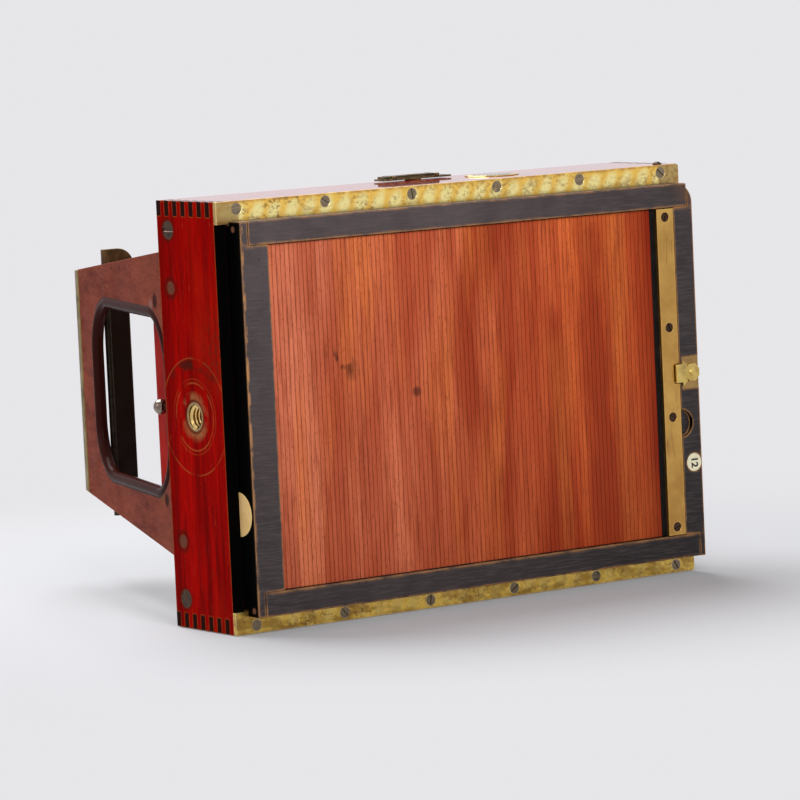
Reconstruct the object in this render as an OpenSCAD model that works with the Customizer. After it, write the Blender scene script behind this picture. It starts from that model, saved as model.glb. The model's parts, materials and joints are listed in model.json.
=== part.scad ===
// Folding strut camera for 13 x 18 cm plates, with its plate holder home.
// It stands on its bottom edge. The lens looks along +Y and the plate holder is at the back.
// Both cheeks are opened forward. The front board and the bellows are pushed back into the body.

/* [Body] */
// Width of the body over the side boards
body_w = 229; // [200:1:260]
// Depth of the wooden body
body_d = 41.2; // [40.6:0.2:50]
// Height of the body
body_h = 170; // [165:1:190]
// Thickness of the top and bottom boards
top_t = 6; // [5.4:0.2:7]
// Thickness of the side boards
side_t = 5.2; // [4.6:0.2:5.4]
// Fingers of the side board in each corner joint
finger_count = 7; // [5:1:9]
// Diameter of the large screws in the side boards
side_screw_d = 7.4; // [6:0.2:8]
// Diameter of the small plugged screws in the side boards
side_plug_d = 5.2; // [4:0.2:6]
// Distance of the side screws from the back of the body
side_screw_y = 33.6; // [32:0.2:36]
// Distance of the large side screws from the top and bottom faces
side_screw_edge = 11.6; // [10:0.2:14]
// Distance of the small plugs from the top and bottom faces
side_plug_edge = 34.6; // [30:0.2:40]

/* [Rails] */
// Width of the brass rails
rail_w = 8.9; // [8.2:0.1:10]
// Thickness of the brass rails
rail_t = 1.9; // [1.4:0.1:2.2]
// Screws in each rail
rail_screw_n = 6; // [4:1:8]
// Diameter of the rail screw heads
rail_screw_d = 4.5; // [3.6:0.1:5]
// Distance of the first rail screw from the end of the rail
rail_screw_inset = 9.6; // [6:0.2:14]
// Distance of the rail screws from the outer edge of the rail
rail_screw_edge = 3.2; // [2.8:0.1:4]

/* [Tripod bushes] */
// Radius of the threaded hole of the tripod bushes
tripod_r = 4.76; // [3.1:0.01:4.8]
// Radius of the brass body of the tripod bushes
bush_r = 5.9; // [5.4:0.1:6]
// Length of the tripod bushes
bush_len = 8; // [7:0.2:8.4]
// Distance of both bushes from the back of the body
bush_y = 20.6; // [20:0.2:21]

/* [Rear frame and bellows] */
// Distance from the back of the body to the face that the holder bears on
seat_y = 4.3; // [4.2:0.1:4.4]
// Thickness of the rear frame
rear_frame_t = 3; // [2.4:0.1:3]
// Width of the upright sides of the rear frame
frame_side_w = 16.3; // [14:0.1:19]
// Height of the top and bottom of the rear frame
frame_rail_h = 13; // [11:0.5:16]
// Folds of the bellows
fold_count = 9; // [6:1:10]
// Thickness of one folded bellows layer
leather_t = 0.38; // [0.3:0.01:0.38]
// Depth of one fold from its peak to its valley
fold_depth = 7; // [5:0.5:8]

/* [Front board and lens] */
// Width of the front board
board_w = 104; // [98:1:104]
// Height of the front board
board_h = 100; // [92:1:104]
// Thickness of the front board
board_t = 5; // [4.2:0.1:5]
// Distance from the back of the body to the back of the front board
board_y = 14.7; // [14.7:0.1:14.9]
// Radius of the lens flange
flange_r = 30; // [27:0.5:31]
// Thickness of the lens flange
flange_t = 1.6; // [1.2:0.1:1.8]
// Radius of the lens barrel
barrel_r = 19; // [16:0.5:19.5]
// Reach of the lens barrel in front of the flange
barrel_len = 21; // [19:0.5:22]
// Radius of the front glass
front_glass_r = 14; // [10:0.5:15]
// Radius of the rear cell of the lens
rear_cell_r = 15; // [12:0.5:16]
// Width of the iris ring
iris_w = 4.6; // [3.6:0.2:5]

/* [Cheeks] */
// Angle of an open cheek from the lens axis
cheek_open = 16; // [12:0.5:17]
// Length of the left cheek from its hinge axis
cheek_len = 170.4; // [164:0.4:171]
// Thickness of a cheek
cheek_t = 4.4; // [4:0.1:4.4]
// Height of a cheek at its hinge
cheek_h_root = 131.8; // [124:0.2:134]
// Height of a cheek at its front end
cheek_h_front = 94.8; // [90:0.2:110]
// Height of the middle of the cheeks above the middle of the body
cheek_rise = 1; // [0:0.2:2]
// Distance of the left hinge axis from the outer face of the body
hinge_x = 7.25; // [7.2:0.05:8]
// Distance of the left hinge axis from the back of the body
hinge_y = 27.4; // [27.3:0.1:27.6]
// How much further forward the right hinge axis stands
layer_step = 10; // [9.8:0.1:10.2]
// Window end nearest the front, measured from the front end
window_front = 26; // [24:0.5:30]
// Window end nearest the hinge, measured from the front end
window_back = 129; // [122:0.5:130]
// Height of the window
window_h = 68.8; // [64:0.2:70]
// Height of the middle of the window below the middle of the cheek
window_drop = 0.8; // [0:0.2:1.4]
// Corner radius of the window
window_r = 20; // [12:0.5:24]
// Radius of the moulded roll around the window
bead_r = 2.5; // [2.2:0.1:2.5]
// How far the roll stands proud of the cheek
bead_proud = 0.7; // [0.4:0.1:0.7]
// Width of the brass edging on the front end
edging_w = 5; // [4:0.2:6]
// How far the edging stands proud of the cheek
edging_proud = 0.3; // [0.2:0.05:0.4]

/* [Stretcher and knob] */
// Distance of the stretcher's front edge from the front end of the cheek
stretcher_from = 101.6; // [100:0.4:104]
// Width of the stretcher
stretcher_w = 22; // [18:0.5:23]
// Thickness of the stretcher
stretcher_t = 4.6; // [4:0.1:4.6]
// Radius of the ball knob
ball_r = 3.2; // [2.6:0.1:3.2]
// Distance of the ball knob from the front end of the cheek
ball_from = 118; // [114:0.5:119]
// Height of the ball knob below the middle of the cheek
ball_drop = 2; // [0:0.5:6]
// How far the middle of the ball stands outside the middle of the cheek
ball_out = 1; // [0.4:0.1:1]
// How far the ball knob can be pressed in
ball_travel = 1.2; // [0.8:0.1:1.2]

/* [Front plates] */
// Distance of the plate's pivot from the front end of the cheek
plate_pivot_from = 20; // [18:0.5:22]
// Distance of the plate's pivot from the middle of the cheek's thickness
plate_pivot_off = 5.5; // [5.2:0.1:5.5]
// Width of the plate from its pivot
plate_w = 10.6; // [9:0.2:12]
// Width of the rounded top end of the plate
plate_cap_w = 14; // [12:0.2:14]
// Thickness of the plate
plate_t = 2.2; // [1.8:0.1:2.2]
// Reach of the plate below the middle of the cheek
plate_down = 56.8; // [53:0.2:58]
// Reach of the plate above the middle of the cheek
plate_up = 56.7; // [54:0.2:59]
// Distance of the plate brackets above and below the middle of the cheek
bracket_dz = 43.5; // [42:0.5:45]
// Radius of the rounded end of a plate bracket
bracket_r = 1.8; // [1.6:0.1:1.8]
// Height of a plate bracket
bracket_h = 3; // [2.4:0.2:3.4]
// Reach of the foot of a plate bracket on either side
bracket_foot = 5; // [3:0.5:6]

/* [Hinges] */
// Radius of the hinge barrels
knuckle_r = 1.7; // [1.5:0.05:1.75]
// Radius of the hinge pins
hinge_pin_r = 0.9; // [0.7:0.05:1]
// Running clearance of the pins
pin_gap = 0.05; // [0.02:0.01:0.1]
// Length of one hinge
hinge_h = 26; // [20:1:32]
// Thickness of the hinge leaves
leaf_t = 0.9; // [0.7:0.05:1]
// Width of the hinge leaves
leaf_w = 11; // [9:0.5:12]
// Distance of the hinges above and below the middle of the cheek
hinge_dz = 42; // [36:1:46]

/* [Plate holder] */
// How far the holder stands behind the body
holder_proud = 9.8; // [9:0.1:11]
// Height of the lower edge of the holder's back part
holder_z0 = 6.9; // [6.6:0.1:7.4]
// Distance of the upper edge of the holder's back part from the top of the body
holder_top_gap = 7.8; // [7.4:0.1:8.2]
// Width of the left stile
stile_left_w = 13; // [11:0.2:14]
// Width of the right stile
stile_right_w = 9.8; // [9.4:0.1:11]
// Height of the top and bottom members
member_h = 9.6; // [9:0.1:11]
// How far the stiles run past the ends of the members, on the left
member_lap_left = 3.8; // [3:0.1:5]
// How far the right stile runs past the ends of the members
member_lap_right = 2.5; // [2:0.1:3.5]
// Corner radius of the right stile
stile_corner_r = 8; // [3:0.5:8]
// Pitch of the tambour slats
slat_pitch = 2.05; // [1.8:0.05:3.2]
// Thickness of the tambours
tambour_t = 3; // [2.4:0.1:3]
// Depth of the back tambour below the face of the holder
tambour_sink = 1.6; // [1.2:0.1:1.8]
// Margin between the glass plates and the stiles
glass_margin_x = 11.35; // [9:0.05:13]
// Margin between the glass plates and the top and bottom members
glass_margin_z = 4.05; // [2:0.05:5]
// Thickness of the glass plates
plate_glass_t = 1.2; // [1:0.1:1.2]

/* [Pull bar and latch] */
// Width of the brass pull bar
bar_w = 8.6; // [7:0.2:9]
// Distance of the inner pull bar screws from the middle of the bar
bar_screw_inner = 18.6; // [14:0.2:22]
// Diameter of the pull bar screws
bar_screw_d = 4; // [3.2:0.1:4.6]
// Width of the dark lead slat that shows beside the bar
lead_show = 2.4; // [1.6:0.1:3]
// Height of the latch pivot below the middle of the body
latch_drop = 1.2; // [-4:0.2:4]
// Distance of the latch pivot from the right end of the holder
latch_edge = 4; // [3.8:0.1:4.4]
// Reach of the latch tongue from its pivot
latch_reach = 8.4; // [8:0.2:10]
// Width of the latch tongue
tongue_w = 7.6; // [6:0.2:8]
// Thickness of the latch
latch_t = 1.2; // [0.9:0.1:1.4]
// Diameter of the ivory number disc
disc_d = 7.6; // [6.4:0.2:7.6]
// Height of the number disc below the middle of the body
disc_drop = 38.8; // [34:0.2:44]
// Height of the finger scoop below the middle of the body
scoop_drop = 22.1; // [18:0.1:24]
// Radius of the finger scoop
scoop_r = 5.8; // [4:0.2:6.5]

/* [Top fittings] */
// Distance of the spirit level from the left end of the body
level_x = 151; // [145:1:165]
// Distance of the spirit level from the back of the body
level_y = 22.5; // [18:0.5:24]
// Radius of the flange of the spirit level
level_r = 11.2; // [10.4:0.2:14]
// Radius of the glass of the spirit level
level_glass_r = 8; // [7:0.2:8.6]
// Distance of the finder's left end from the left end of the body
finder_x = 104.8; // [90:0.2:106]
// Length of the finder bar
finder_len = 33.4; // [33:0.2:40]
// Width of the finder bar
finder_w = 7.4; // [6.4:0.2:7.4]
// Distance of the front leaf's pivot from the left end of the finder bar
finder_front_at = 26.2; // [25.8:0.2:28]
// Length of the front leaf
finder_front_len = 19.9; // [18:0.1:19.9]
// Distance of the rear leaf's pivot from the left end of the finder bar
finder_rear_at = 5.2; // [5:0.1:5.3]
// Length of the rear leaf
finder_rear_len = 4.4; // [3.6:0.2:4.4]
// Diameter of the head of the catch pin
catch_d = 3.6; // [3:0.1:3.8]
// Distance of the catch pin from the right end of the body
catch_edge = 8; // [6:0.2:12]

/* [Hidden] */
$fn = 48;

// Heights that follow the body
cheek_mid_z = body_h / 2 + cheek_rise;
window_mid_z = cheek_mid_z - window_drop;
ball_z = cheek_mid_z - ball_drop;
plate_z0 = cheek_mid_z - plate_down;
plate_z1 = cheek_mid_z + plate_up;
latch_z = body_h / 2 - latch_drop;
disc_z = body_h / 2 - disc_drop;
scoop_z = body_h / 2 - scoop_drop;
plate_opening_w = body_w - 2 * side_t - 2 * frame_side_w;
plate_opening_h = body_h - 2 * top_t - 2 * frame_rail_h;
holder_z1 = body_h - holder_top_gap;

// Small fits shared by several pieces
eps = 0.01;
slide_gap = 0.3;
touch_gap = 0.1;
press_gap = 0.05;
glue_gap = 0.02;
slot_turn = 47;
head_t = 1.1;
far = 400;

// The hinge axes: both cheeks end at the same distance in front of the body
axis_dir = [sin(cheek_open), cos(cheek_open)];
tip_x = hinge_x + cheek_len * axis_dir[0];
tip_y = hinge_y + cheek_len * axis_dir[1];
right_len = cheek_len - layer_step / axis_dir[1];
right_hinge_x = tip_x - right_len * axis_dir[0];
right_hinge_y = hinge_y + layer_step;
edging_t = cheek_t + 2 * edging_proud;

// The whole part is centred on its footprint
latch_gap = 0.15;
rivet_h = 0.6;
rear_reach = holder_proud + latch_gap + latch_t + rivet_h;
front_reach = tip_y + edging_t / 2 * axis_dir[0];
mid_y = (front_reach - rear_reach) / 2;

// The holder, in the frame of the body's back left bottom corner
holder_x0 = side_t + slide_gap;
holder_x1 = body_w;
holder_front = seat_y - slide_gap;
lip_gap = 0.2;
lip_top_z = body_h - rail_w - slide_gap;
lip_bot_z = rail_w + slide_gap;
member_top_z = holder_z1 - member_h;
member_bot_z = holder_z0 + member_h;
opening_x0 = holder_x0 + stile_left_w;
opening_x1 = holder_x1 - stile_right_w;
plate_glass_w = opening_x1 - opening_x0 - 2 * glass_margin_x;
plate_glass_h = member_top_z - member_bot_z - 2 * glass_margin_z;
shutter_z0 = member_bot_z + slide_gap;
shutter_z1 = member_top_z - slide_gap;
bar_x1 = opening_x1 - lip_gap;
bar_x0 = bar_x1 - bar_w;
lead_x0 = bar_x0 - lead_show;
tambour_y0 = -holder_proud + tambour_sink;
latch_x = holder_x1 - latch_edge;

// The lens stands on the middle of the front board
lens_x = body_w / 2;
lens_z = cheek_mid_z;
board_front = board_y + board_t;
flange_front = board_front + flange_t;
lens_front = flange_front + barrel_len;
iris_y = flange_front + barrel_len * 0.42;
rear_cell_y = seat_y + rear_frame_t + slide_gap;

// The bellows fills the space between the rear frame and the front board
bellows_y0 = seat_y + rear_frame_t;
bellows_y1 = board_y - slide_gap;
fold_pitch = (bellows_y1 - bellows_y0) / fold_count;
bellows_lap = 4;
bellows_inset = 3;
bellows_rear_half = [plate_opening_w / 2 + bellows_lap, plate_opening_h / 2 + bellows_lap];
bellows_front_half = [board_w / 2 - bellows_inset, board_h / 2 - bellows_inset];

finder_edge = 0.7;
finder_lift = 0.4;
finder_t = 0.7;
finder_ear = 1.2;
finder_stem_r = 1;
finder_boss_r = 3.4;
finder_peep = 1.6;
finder_y = body_d - finder_edge - finder_w / 2;
finder_mid_x = finder_x + finder_len / 2;
finder_z = body_h + finder_lift;
leaf_z = finder_z + finder_t + touch_gap;
leaf_r = 0.45;
leaf_pin_r = 0.35;
leaf_axis_z = leaf_z + leaf_r;
finder_block_t = 1;
finder_glass_x = 7;
finder_glass_len = 6.4;
finder_glass_w = 3;
catch_y = holder_front / 2 + 0.1;
catch_pin_r = 1;
catch_travel = 0.9;
catch_bore_h = 2;
plate_pin_r = 0.9;
hinge_strip_t = right_hinge_x - hinge_x;
hinge_strip_over = 4;
recess_t = 0.6;
level_wall = 1.6;
level_floor = 1;
knob_stem_r = 1;
stretcher_over = 9;
plate_cap_r = 8;
flange_screw_r = 2;
flange_screw_sink = 0.8;
barrel_step = 2;
hood_len = 5;
lens_glass_t = 3;
septum_y = -2.9;
septum_t = 0.4;
slat_gap = 0.25;
slat_groove = 0.5;
tambour_front_sink = 0.6;
bar_screw_inset = 3.4;
latch_base_reach = 4.5;
latch_base_half = 6.7;
latch_pin_r = 1.1;
latch_plate_r = 3.9;
notch_gap = 0.4;
notch_depth = 0.8;

// Puts a piece from the frame of the body's back left bottom corner into the part's own frame
module place() {
    translate([-body_w / 2, -mid_y, 0])
        children();
}

module box(low, high) {
    translate(low)
        cube([high[0] - low[0], high[1] - low[1], high[2] - low[2]]);
}

// A cylinder along +Y from y0 to y1
module rod_y(x, z, r, y0, y1) {
    translate([x, y0, z])
        rotate([-90, 0, 0])
            cylinder(r = r, h = y1 - y0);
}

// A cylinder along +X from x0 to x1
module rod_x(y, z, r, x0, x1) {
    translate([x0, y, z])
        rotate([0, 90, 0])
            cylinder(r = r, h = x1 - x0);
}

// A slotted screw head whose face looks along -Y
module screw_head_y(x, y, z, d, t, turn) {
    slot_w = d * 0.17;
    difference() {
        rod_y(x, z, d / 2, y, y + t);
        translate([x, y, z])
            rotate([0, turn, 0])
                cube([d * 1.2, t, slot_w], center = true);
    }
}

// The comb of the corner joints: the side boards keep the odd strips, counted from the back
module finger_comb(x0, x1, z0, z1, odd) {
    pitch = body_d / (2 * finger_count);
    for (i = [0 : finger_count - 1])
        box([x0, (2 * i + (odd ? 1 : 0)) * pitch, z0], [x1, (2 * i + (odd ? 2 : 1)) * pitch, z1]);
}

module side_screw_holes(x0, x1) {
    for (z = [side_screw_edge, body_h - side_screw_edge])
        rod_x(side_screw_y, z, side_screw_d / 2, x0, x1);
    for (z = [side_plug_edge, body_h - side_plug_edge])
        rod_x(side_screw_y, z, side_plug_d / 2, x0, x1);
}

module left_side_board() {
    color("#8f1408")
        place()
            difference() {
                box([0, 0, 0], [side_t, body_d, body_h]);
                finger_comb(-eps, side_t + eps, body_h - top_t, body_h + eps, true);
                finger_comb(-eps, side_t + eps, -eps, top_t, true);
                side_screw_holes(-eps, recess_t * 2);
                rod_x(bush_y, body_h / 2, bush_r, -eps, side_t + eps);
            }
}

module right_side_board() {
    color("#8f1408")
        place()
            difference() {
                box([body_w - side_t, seat_y, 0], [body_w, body_d, body_h]);
                finger_comb(body_w - side_t - eps, body_w + eps, body_h - top_t, body_h + eps, true);
                finger_comb(body_w - side_t - eps, body_w + eps, -eps, top_t, true);
                side_screw_holes(body_w - recess_t * 2, body_w + eps);
            }
}

// The corner joints are cut out of the top and bottom boards where the side boards have fingers
module corner_sockets(z0, z1) {
    finger_comb(-eps, side_t, z0, z1, false);
    intersection() {
        finger_comb(body_w - side_t, body_w + eps, z0, z1, false);
        box([0, seat_y, -eps], [body_w + 1, body_d, body_h + eps]);
    }
}

module top_board() {
    color("#7a1a0c")
        place()
            difference() {
                box([0, 0, body_h - top_t], [body_w, body_d, body_h]);
                corner_sockets(body_h - top_t - eps, body_h + eps);
                translate([level_x, level_y, body_h - top_t + level_floor])
                    cylinder(r = level_glass_r + level_wall, h = top_t);
                translate([body_w - catch_edge, catch_y, body_h - top_t - 1])
                    cylinder(r = catch_pin_r + pin_gap, h = top_t + 2);
                translate([body_w - catch_edge, catch_y, body_h - catch_bore_h])
                    cylinder(r = catch_d / 2 + pin_gap, h = catch_bore_h + 1);
            }
}

module bottom_board() {
    color("#7a1a0c")
        place()
            difference() {
                box([0, 0, 0], [body_w, body_d, top_t]);
                corner_sockets(-eps, top_t + eps);
                translate([body_w / 2, bush_y, -eps])
                    cylinder(r = bush_r, h = top_t + 1);
            }
}

// One brass rail with countersunk screw seats; z0 is its lower edge
module rail(z0, screw_z) {
    pitch = (body_w - 2 * rail_screw_inset) / (rail_screw_n - 1);
    corner = 1.2;
    difference() {
        union() {
            box([0, -rail_t, z0], [body_w - corner, 0, z0 + rail_w]);
            box([body_w - corner - eps, -rail_t, z0 + corner], [body_w, 0, z0 + rail_w - corner]);
            for (z = [z0 + corner, z0 + rail_w - corner])
                rod_y(body_w - corner, z, corner, -rail_t, 0);
        }
        for (i = [0 : rail_screw_n - 1])
            rod_y(rail_screw_inset + i * pitch, screw_z, rail_screw_d / 2, -rail_t - eps, -rail_t + head_t);
    }
}

module top_rail() {
    color("#b08a2e")
        place()
            rail(body_h - rail_w, body_h - rail_screw_edge);
}

module bottom_rail() {
    color("#b08a2e")
        place()
            rail(0, rail_screw_edge);
}

module rail_screws() {
    pitch = (body_w - 2 * rail_screw_inset) / (rail_screw_n - 1);
    color("#8a7440")
        place()
            for (i = [0 : rail_screw_n - 1], z = [rail_screw_edge, body_h - rail_screw_edge])
                screw_head_y(rail_screw_inset + i * pitch, -rail_t, z, rail_screw_d, head_t, slot_turn * i + z);
}

module side_screws() {
    color("#6a4a30")
        place()
            for (x = [0, body_w - recess_t * 2], z = [side_screw_edge, body_h - side_screw_edge])
                difference() {
                    rod_x(side_screw_y, z, side_screw_d / 2, x, x + recess_t * 2);
                    translate([x == 0 ? 0 : body_w, side_screw_y, z])
                        rotate([z > body_h / 2 ? 0 : 38, 0, 0])
                            cube([recess_t, side_screw_d * 1.2, 1.1], center = true);
                }
}

module side_plugs() {
    color("#5a2a18")
        place()
            for (x = [0, body_w - recess_t * 2], z = [side_plug_edge, body_h - side_plug_edge])
                rod_x(side_screw_y, z, side_plug_d / 2, x, x + recess_t * 2);
}

module side_tripod_bush() {
    color("#a08040")
        place()
            difference() {
                rod_x(bush_y, body_h / 2, bush_r, 0, bush_len);
                rod_x(bush_y, body_h / 2, tripod_r, -eps, bush_len + eps);
            }
}

module bottom_tripod_bush() {
    color("#a08040")
        place()
            translate([body_w / 2, bush_y, 0])
                difference() {
                    cylinder(r = bush_r, h = bush_len);
                    translate([0, 0, -eps])
                        cylinder(r = tripod_r, h = bush_len + 2 * eps);
                }
}

module rear_frame() {
    frame_y1 = seat_y + rear_frame_t;
    color("#241a16")
        place()
            difference() {
                box([side_t, seat_y, top_t], [body_w - side_t, frame_y1, body_h - top_t]);
                translate([body_w / 2, seat_y + rear_frame_t / 2, body_h / 2])
                    cube([plate_opening_w, rear_frame_t + 1, plate_opening_h], center = true);
            }
}

// One flat layer of folded leather: a rectangular ring of the given outer half sizes
module leather_ring(y, half, band, t) {
    translate([body_w / 2, y + t / 2, lens_z])
        difference() {
            cube([2 * half[0], t, 2 * half[1]], center = true);
            cube([2 * (half[0] - band), t + 1, 2 * (half[1] - band)], center = true);
        }
}

// The folds step in from the plate opening to the front board
module bellows() {
    color("#3a1210")
        place()
            for (i = [0 : fold_count - 1]) {
                share = i / (fold_count - 1);
                half = bellows_rear_half * (1 - share) + bellows_front_half * share;
                leather_ring(bellows_y0 + i * fold_pitch, half, fold_depth, leather_t);
                leather_ring(bellows_y0 + i * fold_pitch + leather_t,
                    half - [fold_depth - 1, fold_depth - 1] * 0.8,
                    fold_depth * 1.2, fold_pitch - leather_t);
            }
}

module level_ring() {
    color("#c09a48")
        place()
            translate([level_x, level_y, 0])
                difference() {
                    union() {
                        translate([0, 0, body_h])
                            cylinder(r = level_r, h = 0.4);
                        translate([0, 0, body_h - top_t + level_floor])
                            cylinder(r = level_glass_r + level_wall - press_gap, h = top_t - level_floor + eps);
                    }
                    translate([0, 0, body_h - top_t + 2 * level_floor])
                        cylinder(r = level_glass_r, h = top_t);
                }
}

module level_glass() {
    color("#d8c890")
        place()
            translate([level_x, level_y, body_h - top_t + 2 * level_floor])
                cylinder(r = level_glass_r - press_gap, h = top_t - 2 * level_floor + 0.5);
}

// The hinge on the body: the two outer knuckles and a leaf on the inner face of the side board
module body_hinge(x, y, z) {
    knuckle_h = hinge_h / 3;
    translate([x, y, z])
        difference() {
            union() {
                for (dz = [-hinge_h / 2, hinge_h / 2 - knuckle_h])
                    translate([0, 0, dz])
                        cylinder(r = knuckle_r, h = knuckle_h);
                for (dz = [-hinge_h / 2, hinge_h / 2 - knuckle_h])
                    translate([side_t - hinge_x, -leaf_w, dz])
                        cube([leaf_t, leaf_w, knuckle_h]);
                translate([side_t - hinge_x, -leaf_w, -hinge_h / 2])
                    cube([leaf_t, leaf_w - knuckle_r - slide_gap, hinge_h]);
            }
            translate([0, 0, -hinge_h])
                cylinder(r = hinge_pin_r, h = 2 * hinge_h);
        }
}

// The hinge on the cheek, in the cheek's own frame: the middle knuckle and a leaf let into the inner face
module cheek_hinge(z) {
    knuckle_h = hinge_h / 3 - 2 * lip_gap;
    translate([0, 0, z])
        difference() {
            union() {
                translate([0, 0, -knuckle_h / 2])
                    cylinder(r = knuckle_r, h = knuckle_h);
                translate([0, -cheek_t / 2, -knuckle_h / 2])
                    cube([leaf_w, leaf_t, knuckle_h]);
                translate([knuckle_r + 2 * slide_gap, -cheek_t / 2, -hinge_h / 2])
                    cube([leaf_w - knuckle_r - 2 * slide_gap, leaf_t, hinge_h]);
            }
            translate([0, 0, -hinge_h])
                cylinder(r = hinge_pin_r + pin_gap, h = 2 * hinge_h);
        }
}

module left_body_hinges() {
    color("#a8853c")
        place()
            for (dz = [-hinge_dz, hinge_dz])
                body_hinge(hinge_x, hinge_y, cheek_mid_z + dz);
}

module right_body_hinges() {
    color("#a8853c")
        place()
            translate([body_w, 0, 0])
                mirror([1, 0, 0])
                    for (dz = [-hinge_dz, hinge_dz])
                        body_hinge(right_hinge_x, right_hinge_y, cheek_mid_z + dz);
}

// The right hinges stand further in, on a strip of wood as thick as the step between the two axes
module right_hinge_strip() {
    half_h = hinge_dz + hinge_h / 2 + hinge_strip_over;
    color("#6a1a10")
        place()
            box([body_w - side_t - hinge_strip_t, right_hinge_y - leaf_w - 1, cheek_mid_z - half_h],
                [body_w - side_t, right_hinge_y, cheek_mid_z + half_h]);
}

module hinge_pins() {
    color("#c0a060")
        place()
            for (dz = [-hinge_dz, hinge_dz],
                    at = [[hinge_x, hinge_y], [body_w - right_hinge_x, right_hinge_y]])
                translate([at[0], at[1], cheek_mid_z + dz - hinge_h / 2])
                    cylinder(r = hinge_pin_r, h = hinge_h);
}

// The catch pin: its head dips into a counterbore and its foot into a notch in the holder
module slide_catch() {
    head_z = body_h - catch_bore_h + catch_travel + touch_gap;
    dome_z = body_h + 0.6;
    color("#4a4030")
        place()
            translate([body_w - catch_edge, catch_y, 0]) {
                translate([0, 0, body_h - top_t + touch_gap])
                    cylinder(r = catch_pin_r, h = top_t - 1);
                translate([0, 0, head_z])
                    cylinder(r = catch_d / 2, h = dome_z - head_z + eps);
                translate([0, 0, dome_z])
                    cylinder(r1 = catch_d / 2, r2 = catch_d / 4, h = 0.6, $fn = 32);
            }
}

// The finder lies folded on top, parallel to the back; it swings out on its pivot and its leaves stand up
module finder_pivot() {
    color("#1c1a18")
        place()
            translate([finder_mid_x, finder_y, body_h]) {
                cylinder(r = finder_boss_r, h = finder_lift - touch_gap);
                cylinder(r = finder_stem_r, h = finder_lift + finder_t);
            }
}

module finder_bar() {
    ear = finder_ear;
    color("#1c1a18")
        place()
            difference() {
                union() {
                    box([finder_x, finder_y - finder_w / 2, finder_z],
                        [finder_x + finder_len, finder_y + finder_w / 2, finder_z + finder_t]);
                    for (at = [finder_front_at, finder_rear_at], side = [-1, 1])
                        translate([finder_x + at - ear, finder_y + side * (finder_w - ear) / 2 - ear / 2, finder_z])
                            cube([2 * ear, ear, finder_t + 1.1]);
                }
                translate([finder_mid_x, finder_y, finder_z - 1])
                    cylinder(r = finder_stem_r + pin_gap, h = 4);
                for (at = [finder_front_at, finder_rear_at])
                    rod_y(finder_x + at, leaf_axis_z, leaf_pin_r + pin_gap, finder_y - finder_w, finder_y + finder_w);
            }
}

// A leaf with its two pivots; it lies along -X from its axis and stands up by turning about Y
module finder_leaf(at, length, t, hole_x, hole_len, hole_w) {
    inner_w = finder_w - 2 * finder_ear - 2 * touch_gap;
    translate([finder_x + at, finder_y, leaf_axis_z])
        difference() {
            union() {
                translate([-length, -inner_w / 2, -leaf_r])
                    cube([length, inner_w, t]);
                rod_y(0, 0, leaf_pin_r, -finder_w / 2, finder_w / 2);
                rod_y(0, 0, leaf_r, -inner_w / 2, inner_w / 2);
            }
            translate([-length + hole_x, -hole_w / 2, -t])
                cube([hole_len, hole_w, 4 * t]);
        }
}

module finder_front_leaf() {
    color("#1c1a18")
        place()
            finder_leaf(finder_front_at, finder_front_len, finder_block_t,
                finder_glass_x, finder_glass_len, finder_glass_w);
}

module finder_glass() {
    x = finder_x + finder_front_at - finder_front_len + finder_glass_x;
    color("#cfd6d2")
        place()
            box([x, finder_y - finder_glass_w / 2, leaf_z + 0.3],
                [x + finder_glass_len, finder_y + finder_glass_w / 2, leaf_z + finder_block_t - 0.3]);
}

module finder_rear_leaf() {
    color("#1c1a18")
        place()
            finder_leaf(finder_rear_at, finder_rear_len, 2 * leaf_r,
                finder_ear, finder_peep, finder_peep);
}

// The frame of an open cheek: +X runs from its hinge axis to its front end, +Y to its outer face
module cheek_frame(side) {
    x = side < 0 ? hinge_x : right_hinge_x;
    y = side < 0 ? hinge_y : right_hinge_y;
    place()
        translate([side < 0 ? 0 : body_w, 0, 0])
            mirror([side < 0 ? 0 : 1, 0, 0])
                translate([x, y, 0])
                    rotate([0, 0, 90 - cheek_open])
                        children();
}

function side_len(side) = side < 0 ? cheek_len : right_len;
function cheek_half(d) = cheek_h_front / 2 + (cheek_h_root - cheek_h_front) / 2 * d / cheek_len;

// The outline between two distances from the front end, as an upright slab of the given thickness
module cheek_slab(length, d0, d1, t) {
    rotate([90, 0, 0])
        translate([0, 0, -t / 2])
            linear_extrude(height = t)
                polygon([
                    [length - d0, cheek_mid_z - cheek_half(d0)],
                    [length - d0, cheek_mid_z + cheek_half(d0)],
                    [length - d1, cheek_mid_z + cheek_half(d1)],
                    [length - d1, cheek_mid_z - cheek_half(d1)]
                ]);
}

// The opening for the roll: a rounded rectangle through the cheek
module cheek_window(length) {
    r = window_r + bead_r;
    x0 = length - window_back - bead_r;
    x1 = length - window_front + bead_r;
    z0 = window_mid_z - window_h / 2 - bead_r;
    z1 = window_mid_z + window_h / 2 + bead_r;
    box([x0 + r, -cheek_t, z0], [x1 - r, cheek_t, z1]);
    box([x0, -cheek_t, z0 + r], [x1, cheek_t, z1 - r]);
    for (x = [x0 + r, x1 - r], z = [z0 + r, z1 - r])
        rod_y(x, z, r, -cheek_t, cheek_t);
}

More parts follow.
